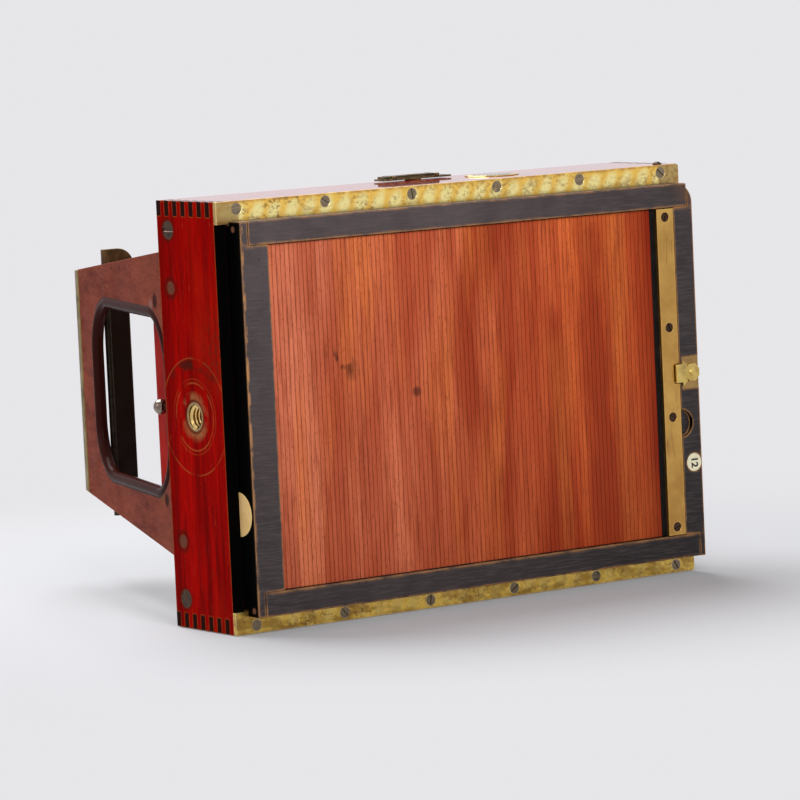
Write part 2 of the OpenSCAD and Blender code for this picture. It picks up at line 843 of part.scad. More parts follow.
// The moulded roll that forms the edge of the window
module window_bead(length) {
    x0 = length - window_back - bead_r;
    x1 = length - window_front + bead_r;
    z0 = window_mid_z - window_h / 2 - bead_r;
    z1 = window_mid_z + window_h / 2 + bead_r;
    r = window_r + bead_r;
    y = cheek_t / 2 + bead_proud - bead_r;
    for (x = [x0, x1])
        translate([x, y, z0 + r])
            cylinder(r = bead_r, h = z1 - z0 - 2 * r);
    for (z = [z0, z1])
        rod_x(y, z, bead_r, x0 + r, x1 - r);
    for (corner = [[x1 - r, z1 - r, 0], [x0 + r, z1 - r, 90], [x0 + r, z0 + r, 180], [x1 - r, z0 + r, 270]])
        translate([corner[0], y, corner[1]])
            rotate([90, 0, 0])
                rotate([0, 0, corner[2] - 0.01])
                    rotate_extrude(angle = 90.02)
                        translate([r, 0])
                            circle(r = bead_r, $fn = 32);
}

module cheek_panel(side) {
    length = side_len(side);
    root = knuckle_r + 2 * slide_gap;
    color("#5c2416")
        cheek_frame(side)
            union() {
                difference() {
                    cheek_slab(length, edging_w, length - root, cheek_t);
                    cheek_window(length);
                    for (dz = [-hinge_dz, hinge_dz])
                        box([0, -cheek_t, cheek_mid_z + dz - hinge_h / 2],
                            [leaf_w, -cheek_t / 2 + leaf_t, cheek_mid_z + dz + hinge_h / 2]);
                }
                window_bead(length);
            }
}

module cheek_edging(side) {
    color("#a8853c")
        cheek_frame(side)
            cheek_slab(side_len(side), 0, edging_w, edging_t);
}

module cheek_hinges(side) {
    color("#a8853c")
        cheek_frame(side)
            for (dz = [-hinge_dz, hinge_dz])
                cheek_hinge(cheek_mid_z + dz);
}

// The stretcher is fixed to the inner face above and below the window; a well takes the ball
module stretcher(side) {
    length = side_len(side);
    xm = length - stretcher_from - stretcher_w / 2;
    xb = length - ball_from;
    z0 = window_mid_z - window_h / 2 - stretcher_over;
    z1 = window_mid_z + window_h / 2 + stretcher_over;
    y1 = -cheek_t / 2;
    y0 = y1 - stretcher_t;
    side_h = 1;
    sag = stretcher_t - side_h;
    arc_r = (pow(stretcher_w / 2, 2) + pow(sag, 2)) / (2 * sag);
    color("#701a12")
        cheek_frame(side)
            difference() {
                intersection() {
                    box([xm - stretcher_w / 2, y0, z0], [xm + stretcher_w / 2, y1, z1]);
                    translate([xm, y0 + arc_r, z0])
                        cylinder(r = arc_r, h = z1 - z0, $fn = 128);
                }
                rod_y(xb, ball_z, ball_r + slide_gap, ball_out - ball_r - ball_travel - slide_gap, y1 + eps);
                rod_y(xb, ball_z, knob_stem_r + pin_gap, y0 - eps, y1);
            }
}

// The ball knob is pressed in towards the inside of the cheek
module ball_knob(side) {
    xb = side_len(side) - ball_from;
    color("#9a8a70")
        cheek_frame(side) {
            translate([xb, ball_out, ball_z])
                sphere(r = ball_r);
            rod_y(xb, ball_z, knob_stem_r, -cheek_t / 2 - stretcher_t + 0.8, ball_out);
        }
}

// Brackets on the inner face of the cheek that carry the pivot of the front plate
module plate_brackets(side) {
    xp = side_len(side) - plate_pivot_from;
    color("#6a5434")
        cheek_frame(side)
            for (dz = [-bracket_dz, bracket_dz])
                difference() {
                    translate([xp, -plate_pivot_off, cheek_mid_z + dz - bracket_h / 2]) {
                        cylinder(r = bracket_r, h = bracket_h);
                        translate([-bracket_r, 0, 0])
                            cube([2 * bracket_r, plate_pivot_off - cheek_t / 2, bracket_h]);
                        translate([-bracket_r - bracket_foot, plate_pivot_off - cheek_t / 2 - 1, 0])
                            cube([2 * (bracket_r + bracket_foot), 1, bracket_h]);
                    }
                    translate([xp, -plate_pivot_off, cheek_mid_z + dz - bracket_h])
                        cylinder(r = plate_pin_r + pin_gap, h = 2 * bracket_h);
                }
}

// The plate stands across the lens axis. Its pivot edge carries a pin through both brackets.
module front_plate(side) {
    edge_r = 1.4;
    foot_h = 2.4;
    notch_h = bracket_h + 0.4;
    cap_z = plate_z1 - plate_cap_w * 0.55;
    cap_flat = plate_cap_w - plate_cap_r;
    px = tip_x - plate_pivot_from * axis_dir[0] + plate_pivot_off * axis_dir[1];
    py = tip_y - plate_pivot_from * axis_dir[1] - plate_pivot_off * axis_dir[0];
    color("#161210")
        place()
            translate([side < 0 ? 0 : body_w, 0, 0])
                mirror([side < 0 ? 0 : 1, 0, 0])
                    translate([px, py, 0]) {
                        difference() {
                            union() {
                                box([0, -plate_t / 2, plate_z0 + foot_h], [plate_w, plate_t / 2, cap_z + eps]);
                                intersection() {
                                    box([0, -plate_t / 2, cap_z], [plate_cap_w, plate_t / 2, plate_z1]);
                                    union() {
                                        box([-1, -plate_t, cap_z - 1], [cap_flat, plate_t, plate_z1]);
                                        rod_y(cap_flat, plate_z1 - plate_cap_r, plate_cap_r, -plate_t, plate_t);
                                    }
                                }
                                translate([0, 0, plate_z0])
                                    cylinder(r = edge_r, h = plate_z1 - plate_z0);
                            }
                            for (dz = [-bracket_dz, bracket_dz])
                                translate([0, 0, cheek_mid_z + dz - notch_h / 2])
                                    cylinder(r = 2.5, h = notch_h);
                        }
                        translate([0, 0, plate_z0 + 1])
                            cylinder(r = plate_pin_r, h = plate_z1 - plate_z0 - 2);
                    }
}

module left_cheek() { cheek_panel(-1); }
module left_edging() { cheek_edging(-1); }
module left_cheek_hinges() { cheek_hinges(-1); }
module left_stretcher() { stretcher(-1); }
module left_brackets() { plate_brackets(-1); }
module left_front_plate() { front_plate(-1); }
module left_ball_knob() { ball_knob(-1); }
module right_cheek() { cheek_panel(1); }
module right_edging() { cheek_edging(1); }
module right_cheek_hinges() { cheek_hinges(1); }
module right_stretcher() { stretcher(1); }
module right_brackets() { plate_brackets(1); }
module right_front_plate() { front_plate(1); }
module right_ball_knob() { ball_knob(1); }

module front_board() {
    color("#6e2012")
        place()
            difference() {
                box([lens_x - board_w / 2, board_y, lens_z - board_h / 2],
                    [lens_x + board_w / 2, board_front, lens_z + board_h / 2]);
                rod_y(lens_x, lens_z, rear_cell_r + lip_gap, board_y - 1, board_front + 1);
            }
}

module flange_screw_places() {
    for (a = [45 : 90 : 315])
        translate([(flange_r - 4) * cos(a), 0, (flange_r - 4) * sin(a)])
            children();
}

module lens_flange() {
    color("#b08a3c")
        place()
            difference() {
                rod_y(lens_x, lens_z, flange_r, board_front, flange_front);
                rod_y(lens_x, lens_z, rear_cell_r + lip_gap, board_front - 1, flange_front + 1);
                translate([lens_x, flange_front, lens_z])
                    flange_screw_places()
                        rod_y(0, 0, flange_screw_r, -flange_screw_sink, 1);
            }
}

module flange_screws() {
    color("#8a7440")
        place()
            translate([lens_x, flange_front - flange_screw_sink, lens_z])
                flange_screw_places()
                    difference() {
                        rod_y(0, 0, flange_screw_r, 0, head_t);
                        translate([0, head_t, 0])
                            cube([5, 0.8, 0.6], center = true);
                    }
}

// Tube of the lens: a rear cell through the board and a stepped barrel in front of the flange
module lens_barrel() {
    color("#b08a3c")
        place()
            translate([lens_x, 0, lens_z])
                rotate([-90, 0, 0])
                    difference() {
                        union() {
                            translate([0, 0, rear_cell_y])
                                cylinder(r = rear_cell_r, h = flange_front - rear_cell_y + eps);
                            translate([0, 0, flange_front])
                                cylinder(r = barrel_r, h = barrel_len);
                            translate([0, 0, lens_front - hood_len])
                                cylinder(r = barrel_r + barrel_step, h = hood_len);
                            translate([0, 0, flange_front])
                                cylinder(r = barrel_r + barrel_step, h = iris_y - flange_front - touch_gap);
                        }
                        translate([0, 0, rear_cell_y - eps])
                            cylinder(r = front_glass_r - 2, h = lens_front);
                        translate([0, 0, rear_cell_y - eps])
                            cylinder(r = front_glass_r - 1, h = 4);
                        translate([0, 0, lens_front - hood_len - lens_glass_t])
                            cylinder(r = front_glass_r, h = hood_len + lens_glass_t + eps);
                        translate([0, 0, lens_front - hood_len + 1])
                            cylinder(r = barrel_r, h = hood_len);
                    }
}

module lens_glasses() {
    color("#aeb8c4")
        place()
            translate([lens_x, 0, lens_z])
                rotate([-90, 0, 0]) {
                    translate([0, 0, rear_cell_y + 1])
                        cylinder(r = front_glass_r - 1 - press_gap, h = lens_glass_t - lip_gap);
                    translate([0, 0, lens_front - hood_len - lens_glass_t])
                        cylinder(r = front_glass_r - press_gap, h = lens_glass_t);
                }
}

module iris_ring() {
    color("#c09a48")
        place()
            difference() {
                rod_y(lens_x, lens_z, barrel_r + 2.4, iris_y, iris_y + iris_w);
                rod_y(lens_x, lens_z, barrel_r + pin_gap, iris_y - 1, iris_y + iris_w + 1);
            }
}

// The section of the holder behind and between the rails
module holder_envelope() {
    box([holder_x0, -holder_proud, holder_z0], [holder_x1, -rail_t - lip_gap, holder_z1]);
    box([holder_x0, -holder_proud, lip_bot_z], [holder_x1, holder_front, lip_top_z]);
}

// The lip that runs in front of a rail, between two distances from the left end of the body
module holder_lip(top, x0, x1, glue) {
    z0 = top ? lip_top_z + glue : top_t + slide_gap;
    z1 = top ? body_h - top_t - slide_gap : lip_bot_z - glue;
    box([x0, lip_gap, z0], [x1, holder_front, z1]);
}

// The reach of one member across the holder
module member_region(top) {
    box([holder_x0 + member_lap_left, -far, top ? member_top_z : -far],
        [holder_x1 - member_lap_right, far, top ? far : member_bot_z]);
}

// A member with its glued lip. The top lip is in two lengths, and the catch pin drops between them.
module holder_member(top) {
    x0 = holder_x0 + member_lap_left;
    x1 = holder_x1 - member_lap_right;
    catch_x = body_w - catch_edge;
    notch = catch_pin_r + slide_gap;
    color("#201c1c")
        place() {
            intersection() {
                holder_envelope();
                member_region(top);
            }
            holder_lip(top, x0, top ? catch_x - notch : x1, glue_gap);
            if (top)
                holder_lip(top, catch_x + notch, x1, glue_gap);
        }
}

module holder_top_member() { holder_member(true); }
module holder_bottom_member() { holder_member(false); }

module holder_left_stile() {
    color("#201c1c")
        place() {
            difference() {
                intersection() {
                    holder_envelope();
                    box([holder_x0, -far, -far], [opening_x0, far, far]);
                }
                member_region(true);
                member_region(false);
            }
            for (top = [true, false])
                holder_lip(top, holder_x0, holder_x0 + member_lap_left, 0);
        }
}

// What rounding takes off one outer corner of the right stile
module stile_corner(z, up) {
    zc = up ? z - stile_corner_r : z + stile_corner_r;
    difference() {
        box([holder_x1 - stile_corner_r, -far, up ? zc : -far], [holder_x1 + 1, far, up ? far : zc]);
        rod_y(holder_x1 - stile_corner_r, zc, stile_corner_r, -far, far);
    }
}

module holder_right_stile() {
    back = -holder_proud;
    color("#201c1c")
        place()
            difference() {
                union() {
                    intersection() {
                        holder_envelope();
                        box([opening_x1, -far, -far], [holder_x1, far, far]);
                    }
                    for (top = [true, false])
                        holder_lip(top, holder_x1 - member_lap_right, holder_x1, -eps);
                }
                difference() {
                    union() {
                        member_region(true);
                        member_region(false);
                    }
                    box([holder_x1 - member_lap_right, -far, -far], [far, far, far]);
                }
                intersection() {
                    stile_corner(holder_z1, true);
                    box([0, -far, 0], [far, -rail_t - lip_gap + eps, far]);
                }
                rod_y(opening_x1, scoop_z, scoop_r, back - 1, back + 2);
                box([latch_x - latch_base_reach, back - 1, latch_z - latch_base_half],
                    [holder_x1 + 1, back + recess_t, latch_z + latch_base_half]);
                rod_y(latch_x, latch_z, latch_pin_r + touch_gap, back, back + 4);
                rod_y(latch_x, disc_z, disc_d / 2, back - 1, back + recess_t);
            }
}

// A thin metal sheet between the two plates, held in the frame all round
module holder_septum() {
    color("#141212")
        place()
            box([opening_x0, septum_y, member_bot_z], [opening_x1, septum_y + septum_t, member_top_z]);
}

module glass_plates() {
    zc = (member_bot_z + member_top_z) / 2;
    color("#c8d4cc")
        place()
            for (y = [septum_y - touch_gap - plate_glass_t, septum_y + septum_t + touch_gap])
                box([body_w / 2 - plate_glass_w / 2, y, zc - plate_glass_h / 2],
                    [body_w / 2 + plate_glass_w / 2, y + plate_glass_t, zc + plate_glass_h / 2]);
}

// Upright slats on a cloth backing; the slats show on the side that looks out
module tambour(x0, x1, y_out, dir) {
    n = floor((x1 - x0) / slat_pitch);
    pitch = (x1 - x0) / n;
    back = y_out + dir * tambour_t;
    y_low = min(y_out, back);
    y_groove = dir > 0 ? y_out : y_out - slat_groove;
    difference() {
        box([x0, y_low, shutter_z0], [x1, y_low + tambour_t, shutter_z1]);
        for (i = [1 : n - 1])
            translate([x0 + i * pitch - slat_gap / 2, y_groove - eps, shutter_z0 - 1])
                cube([slat_gap, slat_groove + 2 * eps, shutter_z1 - shutter_z0 + 2]);
    }
}

module rear_tambour() {
    color("#a0421c")
        place()
            tambour(opening_x0 + lip_gap, lead_x0 - touch_gap, tambour_y0, 1);
}

module front_tambour() {
    color("#a0421c")
        place()
            tambour(opening_x0 + lip_gap, lead_x0 - touch_gap, holder_front - tambour_front_sink, -1);
}

module lead_slat(y0) {
    place()
        box([lead_x0, y0, shutter_z0], [bar_x1, y0 + tambour_t, shutter_z1]);
}

module rear_lead_slat() {
    color("#181414")
        lead_slat(tambour_y0);
}

module front_lead_slat() {
    color("#181414")
        lead_slat(holder_front - tambour_front_sink - tambour_t);
}

// The screws of the pull bar lie along its middle, the outer ones near its ends
bar_mid_z = (shutter_z0 + shutter_z1) / 2;
bar_screw_outer = (shutter_z1 - shutter_z0) / 2 - bar_screw_inset;
bar_screw_offsets = [-bar_screw_outer, -bar_screw_inner, bar_screw_inner, bar_screw_outer];

// The bar is rebated at its right edge where the tongue of the latch lies
module pull_bar() {
    back = -holder_proud;
    notch_half = tongue_w / 2 + notch_gap;
    color("#a8853c")
        place()
            difference() {
                box([bar_x0, back, shutter_z0], [bar_x1, tambour_y0, shutter_z1]);
                for (dz = bar_screw_offsets)
                    rod_y((bar_x0 + bar_x1) / 2, bar_mid_z + dz, bar_screw_d / 2, back - 1, back + 1);
                box([latch_x - latch_reach - notch_gap, back - 1, latch_z - notch_half],
                    [bar_x1 + 1, back + notch_depth, latch_z + notch_half]);
            }
}

module pull_bar_screws() {
    color("#6a4a30")
        place()
            for (dz = bar_screw_offsets)
                screw_head_y((bar_x0 + bar_x1) / 2, -holder_proud, bar_mid_z + dz, bar_screw_d, 1, slot_turn + dz);
}

module latch_base() {
    back = -holder_proud;
    color("#a8853c")
        place()
            difference() {
                box([latch_x - latch_base_reach, back, latch_z - latch_base_half],
                    [holder_x1, back + recess_t, latch_z + latch_base_half]);
                rod_y(latch_x, latch_z, latch_pin_r + touch_gap, back - 1, back + 1);
            }
}

// An eight-sided plate on a rivet, with a tongue over the pull bar and a pointed wing on each side of it
module turn_latch() {
    y1 = -holder_proud - latch_gap;
    wing_x = tongue_w / 2 + 1.1;
    wing_z = tongue_w / 2 + 1.6;
    neck_x = latch_plate_r * 0.7;
    color("#b8934a")
        place()
            translate([latch_x, y1, latch_z])
                rotate([90, 0, 0]) {
                    rotate([0, 0, 22.5])
                        cylinder(r = latch_plate_r, h = latch_t, $fn = 8);
                    linear_extrude(height = latch_t)
                        polygon([
                            [-wing_x, -wing_z],
                            [-neck_x, -latch_plate_r * 0.85],
                            [-neck_x, latch_plate_r * 0.85],
                            [-wing_x, wing_z]
                        ]);
                    translate([-latch_reach, -tongue_w / 2, 0])
                        cube([latch_reach - neck_x, tongue_w, latch_t]);
                    translate([0, 0, latch_t - eps])
                        cylinder(r = 1.4, h = rivet_h);
                    translate([0, 0, -latch_gap - 3])
                        cylinder(r = latch_pin_r, h = latch_gap + 3 + eps);
                }
}

// The round number disc on the back and the half disc on the left end
module ivory_discs() {
    end_r = 8.8;
    end_t = 0.25;
    color("#e8dfc0")
        place() {
            rod_y(latch_x, disc_z, disc_d / 2 - 0.05, -holder_proud, -holder_proud + recess_t);
            intersection() {
                rod_x(0.2, disc_z + 1, end_r, holder_x0 - end_t, holder_x0);
                box([0, -holder_proud + 0.6, 0], [far, -0.1, far]);
            }
        }
}

left_side_board();
right_side_board();
top_board();
bottom_board();
top_rail();
bottom_rail();
rail_screws();
side_screws();
side_plugs();
side_tripod_bush();
bottom_tripod_bush();
rear_frame();
bellows();
level_ring();
level_glass();
left_body_hinges();
right_body_hinges();
right_hinge_strip();
hinge_pins();
slide_catch();
finder_pivot();
finder_bar();
finder_front_leaf();
finder_glass();
finder_rear_leaf();
left_cheek();
left_edging();
left_cheek_hinges();
left_stretcher();
left_brackets();
right_cheek();
right_edging();
right_cheek_hinges();
right_stretcher();
right_brackets();
left_front_plate();
right_front_plate();
left_ball_knob();
right_ball_knob();
front_board();
lens_flange();
flange_screws();
lens_barrel();
lens_glasses();
iris_ring();
holder_left_stile();
holder_right_stile();
holder_top_member();
holder_bottom_member();
holder_septum();
glass_plates();
rear_tambour();
front_tambour();
front_lead_slat();
rear_lead_slat();
pull_bar();
pull_bar_screws();
latch_base();
turn_latch();
ivory_discs();
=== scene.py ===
import bpy
import json
import math
from mathutils import Matrix, Vector

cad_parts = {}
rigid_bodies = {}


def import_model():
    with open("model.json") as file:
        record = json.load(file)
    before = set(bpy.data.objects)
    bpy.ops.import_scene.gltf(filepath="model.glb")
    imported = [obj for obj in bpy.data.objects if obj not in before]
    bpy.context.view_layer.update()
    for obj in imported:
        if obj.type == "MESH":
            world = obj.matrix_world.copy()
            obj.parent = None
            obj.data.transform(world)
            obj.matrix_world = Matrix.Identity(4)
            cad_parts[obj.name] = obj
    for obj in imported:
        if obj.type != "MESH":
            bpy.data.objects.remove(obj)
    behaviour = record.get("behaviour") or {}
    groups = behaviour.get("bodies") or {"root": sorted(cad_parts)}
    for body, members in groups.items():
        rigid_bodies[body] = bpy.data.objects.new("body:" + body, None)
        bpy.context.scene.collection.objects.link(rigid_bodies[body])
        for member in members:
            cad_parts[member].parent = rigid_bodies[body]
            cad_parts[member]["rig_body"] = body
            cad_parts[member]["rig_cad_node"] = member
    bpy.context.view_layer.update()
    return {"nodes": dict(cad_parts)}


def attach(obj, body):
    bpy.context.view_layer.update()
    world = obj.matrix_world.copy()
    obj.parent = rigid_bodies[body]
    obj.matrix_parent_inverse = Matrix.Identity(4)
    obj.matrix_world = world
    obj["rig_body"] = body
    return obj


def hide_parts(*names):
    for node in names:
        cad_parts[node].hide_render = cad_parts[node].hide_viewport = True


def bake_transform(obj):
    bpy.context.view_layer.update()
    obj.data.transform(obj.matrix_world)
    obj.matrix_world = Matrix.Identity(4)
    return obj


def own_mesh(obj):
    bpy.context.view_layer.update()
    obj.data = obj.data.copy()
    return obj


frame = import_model()

# Where the photographer stood: a long lens, a little above the camera and to the left of its back.
# The floor is a wide sheet of pale paper, and the light is soft and even from above and from the left.
bpy.ops.object.select_all(action="DESELECT")
yaw, pitch, roll = math.radians(34.9106), math.radians(-5.6097), math.radians(-2.6572)
forward = Vector((math.sin(yaw) * math.cos(pitch), math.cos(yaw) * math.cos(pitch), math.sin(pitch)))
level_right = Vector((math.cos(yaw), -math.sin(yaw), 0.0))
level_up = level_right.cross(forward)
right = math.cos(roll) * level_right + math.sin(roll) * level_up
up = -math.sin(roll) * level_right + math.cos(roll) * level_up
stand = Vector((-1.137920, -1.677359, 0.274990))
bpy.ops.object.camera_add(location=stand)
photo_camera = bpy.context.object
photo_camera.name = "photo_camera"
photo_camera.matrix_world = Matrix((
    (right.x, up.x, -forward.x, stand.x),
    (right.y, up.y, -forward.y, stand.y),
    (right.z, up.z, -forward.z, stand.z),
    (0.0, 0.0, 0.0, 1.0),
))
photo_camera.data.lens = 218.897
photo_camera.data.sensor_width = 36.0
photo_camera.data.clip_end = 20.0
bpy.context.scene.camera = photo_camera
bpy.context.scene.view_settings.view_transform = "Standard"


def soft_lamp(name, place, aim, size, power):
    bpy.ops.object.light_add(type="AREA", location=place)
    lamp = bpy.context.object
    lamp.name = name
    lamp.data.shape = "DISK"
    lamp.data.size = size
    lamp.data.energy = power
    lamp.rotation_euler = (Vector(aim) - Vector(place)).to_track_quat("-Z", "Y").to_euler()


soft_lamp("key_lamp", (-0.24, -0.66, 0.46), (0, -0.06, 0.13), 0.42, 3.25)
soft_lamp("top_lamp", (-0.05, 0.50, 0.95), (0, 0, 0.10), 1.0, 19)
soft_lamp("side_lamp", (-1.60, 0.30, 0.70), (0, 0, 0.10), 0.8, 3.0)
paper_white = (0.80, 0.79, 0.815, 1.0)
paper_matt = (0.50, 0.508, 0.53, 1.0)
paper_drop = 0.0003
shadow_reach = (0.16, 0.40)
floor_glow = 0.15


def add_node(tree, kind, operation=None, **inputs):
    """A new node with these values on its inputs; a low line in a key stands for a space."""
    node = tree.nodes.new("ShaderNode" + kind)
    if operation:
        node.operation = operation
    for key, value in inputs.items():
        node.inputs[key.replace("_", " ")].default_value = value
    return node


def pale_paper(name):
    """Paper that catches the object's shadow, and shows its own colour to the camera and in the gloss."""
    material = bpy.data.materials.new(name)
    material.use_nodes = True
    tree = material.node_tree
    tree.nodes.clear()
    out = add_node(tree, "OutputMaterial")
    mix = add_node(tree, "MixShader")
    matt = add_node(tree, "BsdfDiffuse", Color=paper_matt)
    glow = add_node(tree, "Emission", Color=paper_white)
    path = add_node(tree, "LightPath")
    seen = add_node(tree, "Math", "MAXIMUM")
    share = add_node(tree, "Math", "MULTIPLY")
    place = add_node(tree, "TexCoord")
    away = add_node(tree, "VectorMath", "LENGTH")
    fade = add_node(tree, "MapRange", From_Min=shadow_reach[0], From_Max=shadow_reach[1], To_Min=floor_glow)
    fade.interpolation_type = "SMOOTHSTEP"
    tree.links.new(place.outputs["Object"], away.inputs[0])
    tree.links.new(away.outputs["Value"], fade.inputs["Value"])
    tree.links.new(fade.outputs[0], share.inputs[1])
    tree.links.new(path.outputs["Is Camera Ray"], seen.inputs[0])
    tree.links.new(path.outputs["Is Glossy Ray"], seen.inputs[1])
    tree.links.new(seen.outputs[0], share.inputs[0])
    tree.links.new(share.outputs[0], mix.inputs[0])
    tree.links.new(matt.outputs[0], mix.inputs[1])
    tree.links.new(glow.outputs[0], mix.inputs[2])
    tree.links.new(mix.outputs[0], out.inputs["Surface"])
    return material


bpy.ops.mesh.primitive_plane_add(size=14.0, location=(0, 0, -paper_drop))
paper_floor = bpy.context.object
paper_floor.name = "paper_floor"
paper_floor.data.materials.append(pale_paper("floor_paper"))

world = bpy.data.worlds.new("studio_world")
bpy.context.scene.world = world
world.use_nodes = True
sky = world.node_tree
sky.nodes.clear()
sky_out = add_node(sky, "OutputWorld")
sky_mix = add_node(sky, "MixShader")
sky_light = add_node(sky, "Background", Color=(1.0, 0.99, 0.98, 1.0), Strength=0.18)
sky_seen = add_node(sky, "Background", Color=paper_white)
sky_path = add_node(sky, "LightPath")
sky_direct = add_node(sky, "Math", "MAXIMUM")
sky_plain = add_node(sky, "Math", "MAXIMUM")
sky.links.new(sky_path.outputs["Is Camera Ray"], sky_direct.inputs[0])
sky.links.new(sky_path.outputs["Is Glossy Ray"], sky_direct.inputs[1])
sky.links.new(sky_direct.outputs[0], sky_plain.inputs[0])
sky.links.new(sky_path.outputs["Is Transmission Ray"], sky_plain.inputs[1])
sky.links.new(sky_plain.outputs[0], sky_mix.inputs[0])
sky.links.new(sky_light.outputs[0], sky_mix.inputs[1])
sky.links.new(sky_seen.outputs[0], sky_mix.inputs[2])
sky.links.new(sky_mix.outputs[0], sky_out.inputs["Surface"])

# The body: four mahogany boards finger jointed at the corners, French polished a deep red.
# Its edges are rubbed through to bare orange wood, and the end grain in the joints is black with old polish.
body_half_w = 0.1145
back_y = -0.090069
board_half_t = 0.0206
side_bush_z = 0.085
side_screws_z = (0.0116, 0.1584, 0.0346, 0.1354)
side_screws_y = back_y + 0.0336
black_back_top = 0.164
level_centre = (0.0365, back_y + 0.0225)
same_point = 0.000002
same_plane = 0.5


def choose_only(piece):
    bpy.ops.object.select_all(action="DESELECT")
    piece.select_set(True)
    bpy.context.view_layer.objects.active = piece


def finish_modifiers(piece):
    choose_only(piece)
    for step in list(piece.modifiers):
        bpy.ops.object.modifier_apply(modifier=step.name)


def dressed(node, suffix, width, material, segments=2, angle=35):
    """The node's own shape with its arrises taken off, as a maker does with a plane or a file."""
    cad_node = frame["nodes"][node]
    choose_only(cad_node)
    bpy.ops.object.duplicate()
    piece = bpy.context.object
    piece.name = node + suffix
    piece.parent = None
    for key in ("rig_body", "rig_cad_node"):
        if key in piece:
            del piece[key]
    bpy.ops.object.mode_set(mode="EDIT")
    bpy.ops.mesh.select_all(action="SELECT")
    bpy.ops.mesh.remove_doubles(threshold=same_point)
    bpy.ops.mesh.dissolve_limited(angle_limit=math.radians(same_plane))
    bpy.ops.object.mode_set(mode="OBJECT")
    arris = piece.modifiers.new("arris", "BEVEL")
    arris.width = width
    arris.segments = segments
    arris.limit_method = "ANGLE"
    arris.angle_limit = math.radians(angle)
    finish_modifiers(piece)
    bpy.ops.object.shade_smooth_by_angle(angle=math.radians(angle))
    flat_faces = piece.modifiers.new("flat_faces", "WEIGHTED_NORMAL")
    flat_faces.keep_sharp = True
    finish_modifiers(piece)
    piece.data.materials.clear()
    piece.data.materials.append(material)
    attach(piece, cad_node["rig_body"])
    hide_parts(node)


class Paint:
    """One material under construction: short ways to add nodes and to join them."""

    def __init__(self, name, metallic=0.0, coat=0.0, coat_rough=0.06, gloss=0.5):
        self.material = bpy.data.materials.new(name)
        self.material.use_nodes = True
        self.tree = self.material.node_tree
        self.shader = self.tree.nodes["Principled BSDF"]
        for key, value in (("Metallic", metallic), ("Coat Weight", coat), ("Coat Roughness", coat_rough),
                           ("IOR", 1.5), ("Specular IOR Level", gloss)):
            self.shader.inputs[key].default_value = value
        self.place = add_node(self.tree, "TexCoord").outputs["Object"]

    def join(self, value, socket):
        if hasattr(value, "is_linked"):
            self.tree.links.new(value, socket)
        else:
            socket.default_value = value

    def stretch(self, x, y, z, shift=(0, 0, 0), turn=(0, 0, 0)):
        node = add_node(self.tree, "Mapping", Scale=(x, y, z), Location=shift, Rotation=turn)
        self.join(self.place, node.inputs["Vector"])
        return node.outputs[0]

    def cloud(self, scales, detail=4.0, rough=0.55, bend=0.0, shift=(0, 0, 0), turn=(0, 0, 0)):
        """Noise with its own number of grains a metre along each axis."""
        node = add_node(self.tree, "TexNoise", Scale=1.0, Detail=detail, Roughness=rough, Distortion=bend)
        self.join(self.stretch(*scales, shift=shift, turn=turn), node.inputs["Vector"])
        return node.outputs[0]

    def math(self, kind, a, b=0.0):
        node = add_node(self.tree, "Math", kind)
        self.join(a, node.inputs[0])
        self.join(b, node.inputs[1])
        return node.outputs[0]

    def mul(self, a, b):
        return self.math("MULTIPLY", a, b)

    def add(self, a, b):
        return self.math("ADD", a, b)

    def sub(self, a, b):
        return self.math("SUBTRACT", a, b)

    def div(self, a, b):
        return self.math("DIVIDE", a, b)

    def size(self, a):
        return self.math("ABSOLUTE", a)

    def ramp(self, value, low, high, to_low=0.0, to_high=1.0):
        node = add_node(self.tree, "MapRange", From_Min=low, From_Max=high, To_Min=to_low, To_Max=to_high)
        self.join(value, node.inputs["Value"])
        return node.outputs[0]

    def mix(self, share, a, b):
        node = add_node(self.tree, "Mix")
        node.data_type = "RGBA"
        self.join(share, node.inputs[0])
        self.join(a + (1.0,) if isinstance(a, tuple) else a, node.inputs[6])
        self.join(b + (1.0,) if isinstance(b, tuple) else b, node.inputs[7])
        return node.outputs[2]

    def axes(self):
        node = add_node(self.tree, "SeparateXYZ")
        self.join(self.place, node.inputs[0])
        return node.outputs

    def facing(self):
        node = add_node(self.tree, "SeparateXYZ")
        self.join(add_node(self.tree, "NewGeometry").outputs["True Normal"], node.inputs[0])
        return node.outputs

    def between(self, value, low, high, soft):
        """One inside the range, nought outside it."""
        rise = self.ramp(value, low - soft, low + soft)
        fall = self.ramp(value, high - soft, high + soft, 1.0, 0.0)
        return self.mul(rise, fall)

    def disc(self, a, b, ca, cb):
        """Distance in one plane from a centre, in metres."""
        da = self.math("POWER", self.sub(a, ca), 2.0)
        db = self.math("POWER", self.sub(b, cb), 2.0)
        return self.math("SQRT", self.add(da, db))

    def group(self, tree, **values):
        node = add_node(self.tree, "Group")
        node.node_tree = tree
        for key, value in values.items():
            self.join(value, node.inputs[key])
        return node.outputs

    def worn(self, width, patches, gain=9.0):
        """Mask of the rubbed arrises."""
        return self.group(rubbed, Place=self.place, Width=width, Patches=patches, Gain=gain)["Mask"]

    def finish(self, color, rough, height=None, depth=0.0001, strength=0.4, coat=None, metallic=None):
        self.join(color, self.shader.inputs["Base Color"])
        self.join(rough, self.shader.inputs["Roughness"])
        if coat is not None:
            self.join(coat, self.shader.inputs["Coat Weight"])
        if metallic is not None:
            self.join(metallic, self.shader.inputs["Metallic"])
        if height is not None:
            bump = add_node(self.tree, "Bump", Strength=strength, Distance=depth)
            self.join(height, bump.inputs["Height"])
            self.join(bump.outputs[0], self.shader.inputs["Normal"])
        return self.material


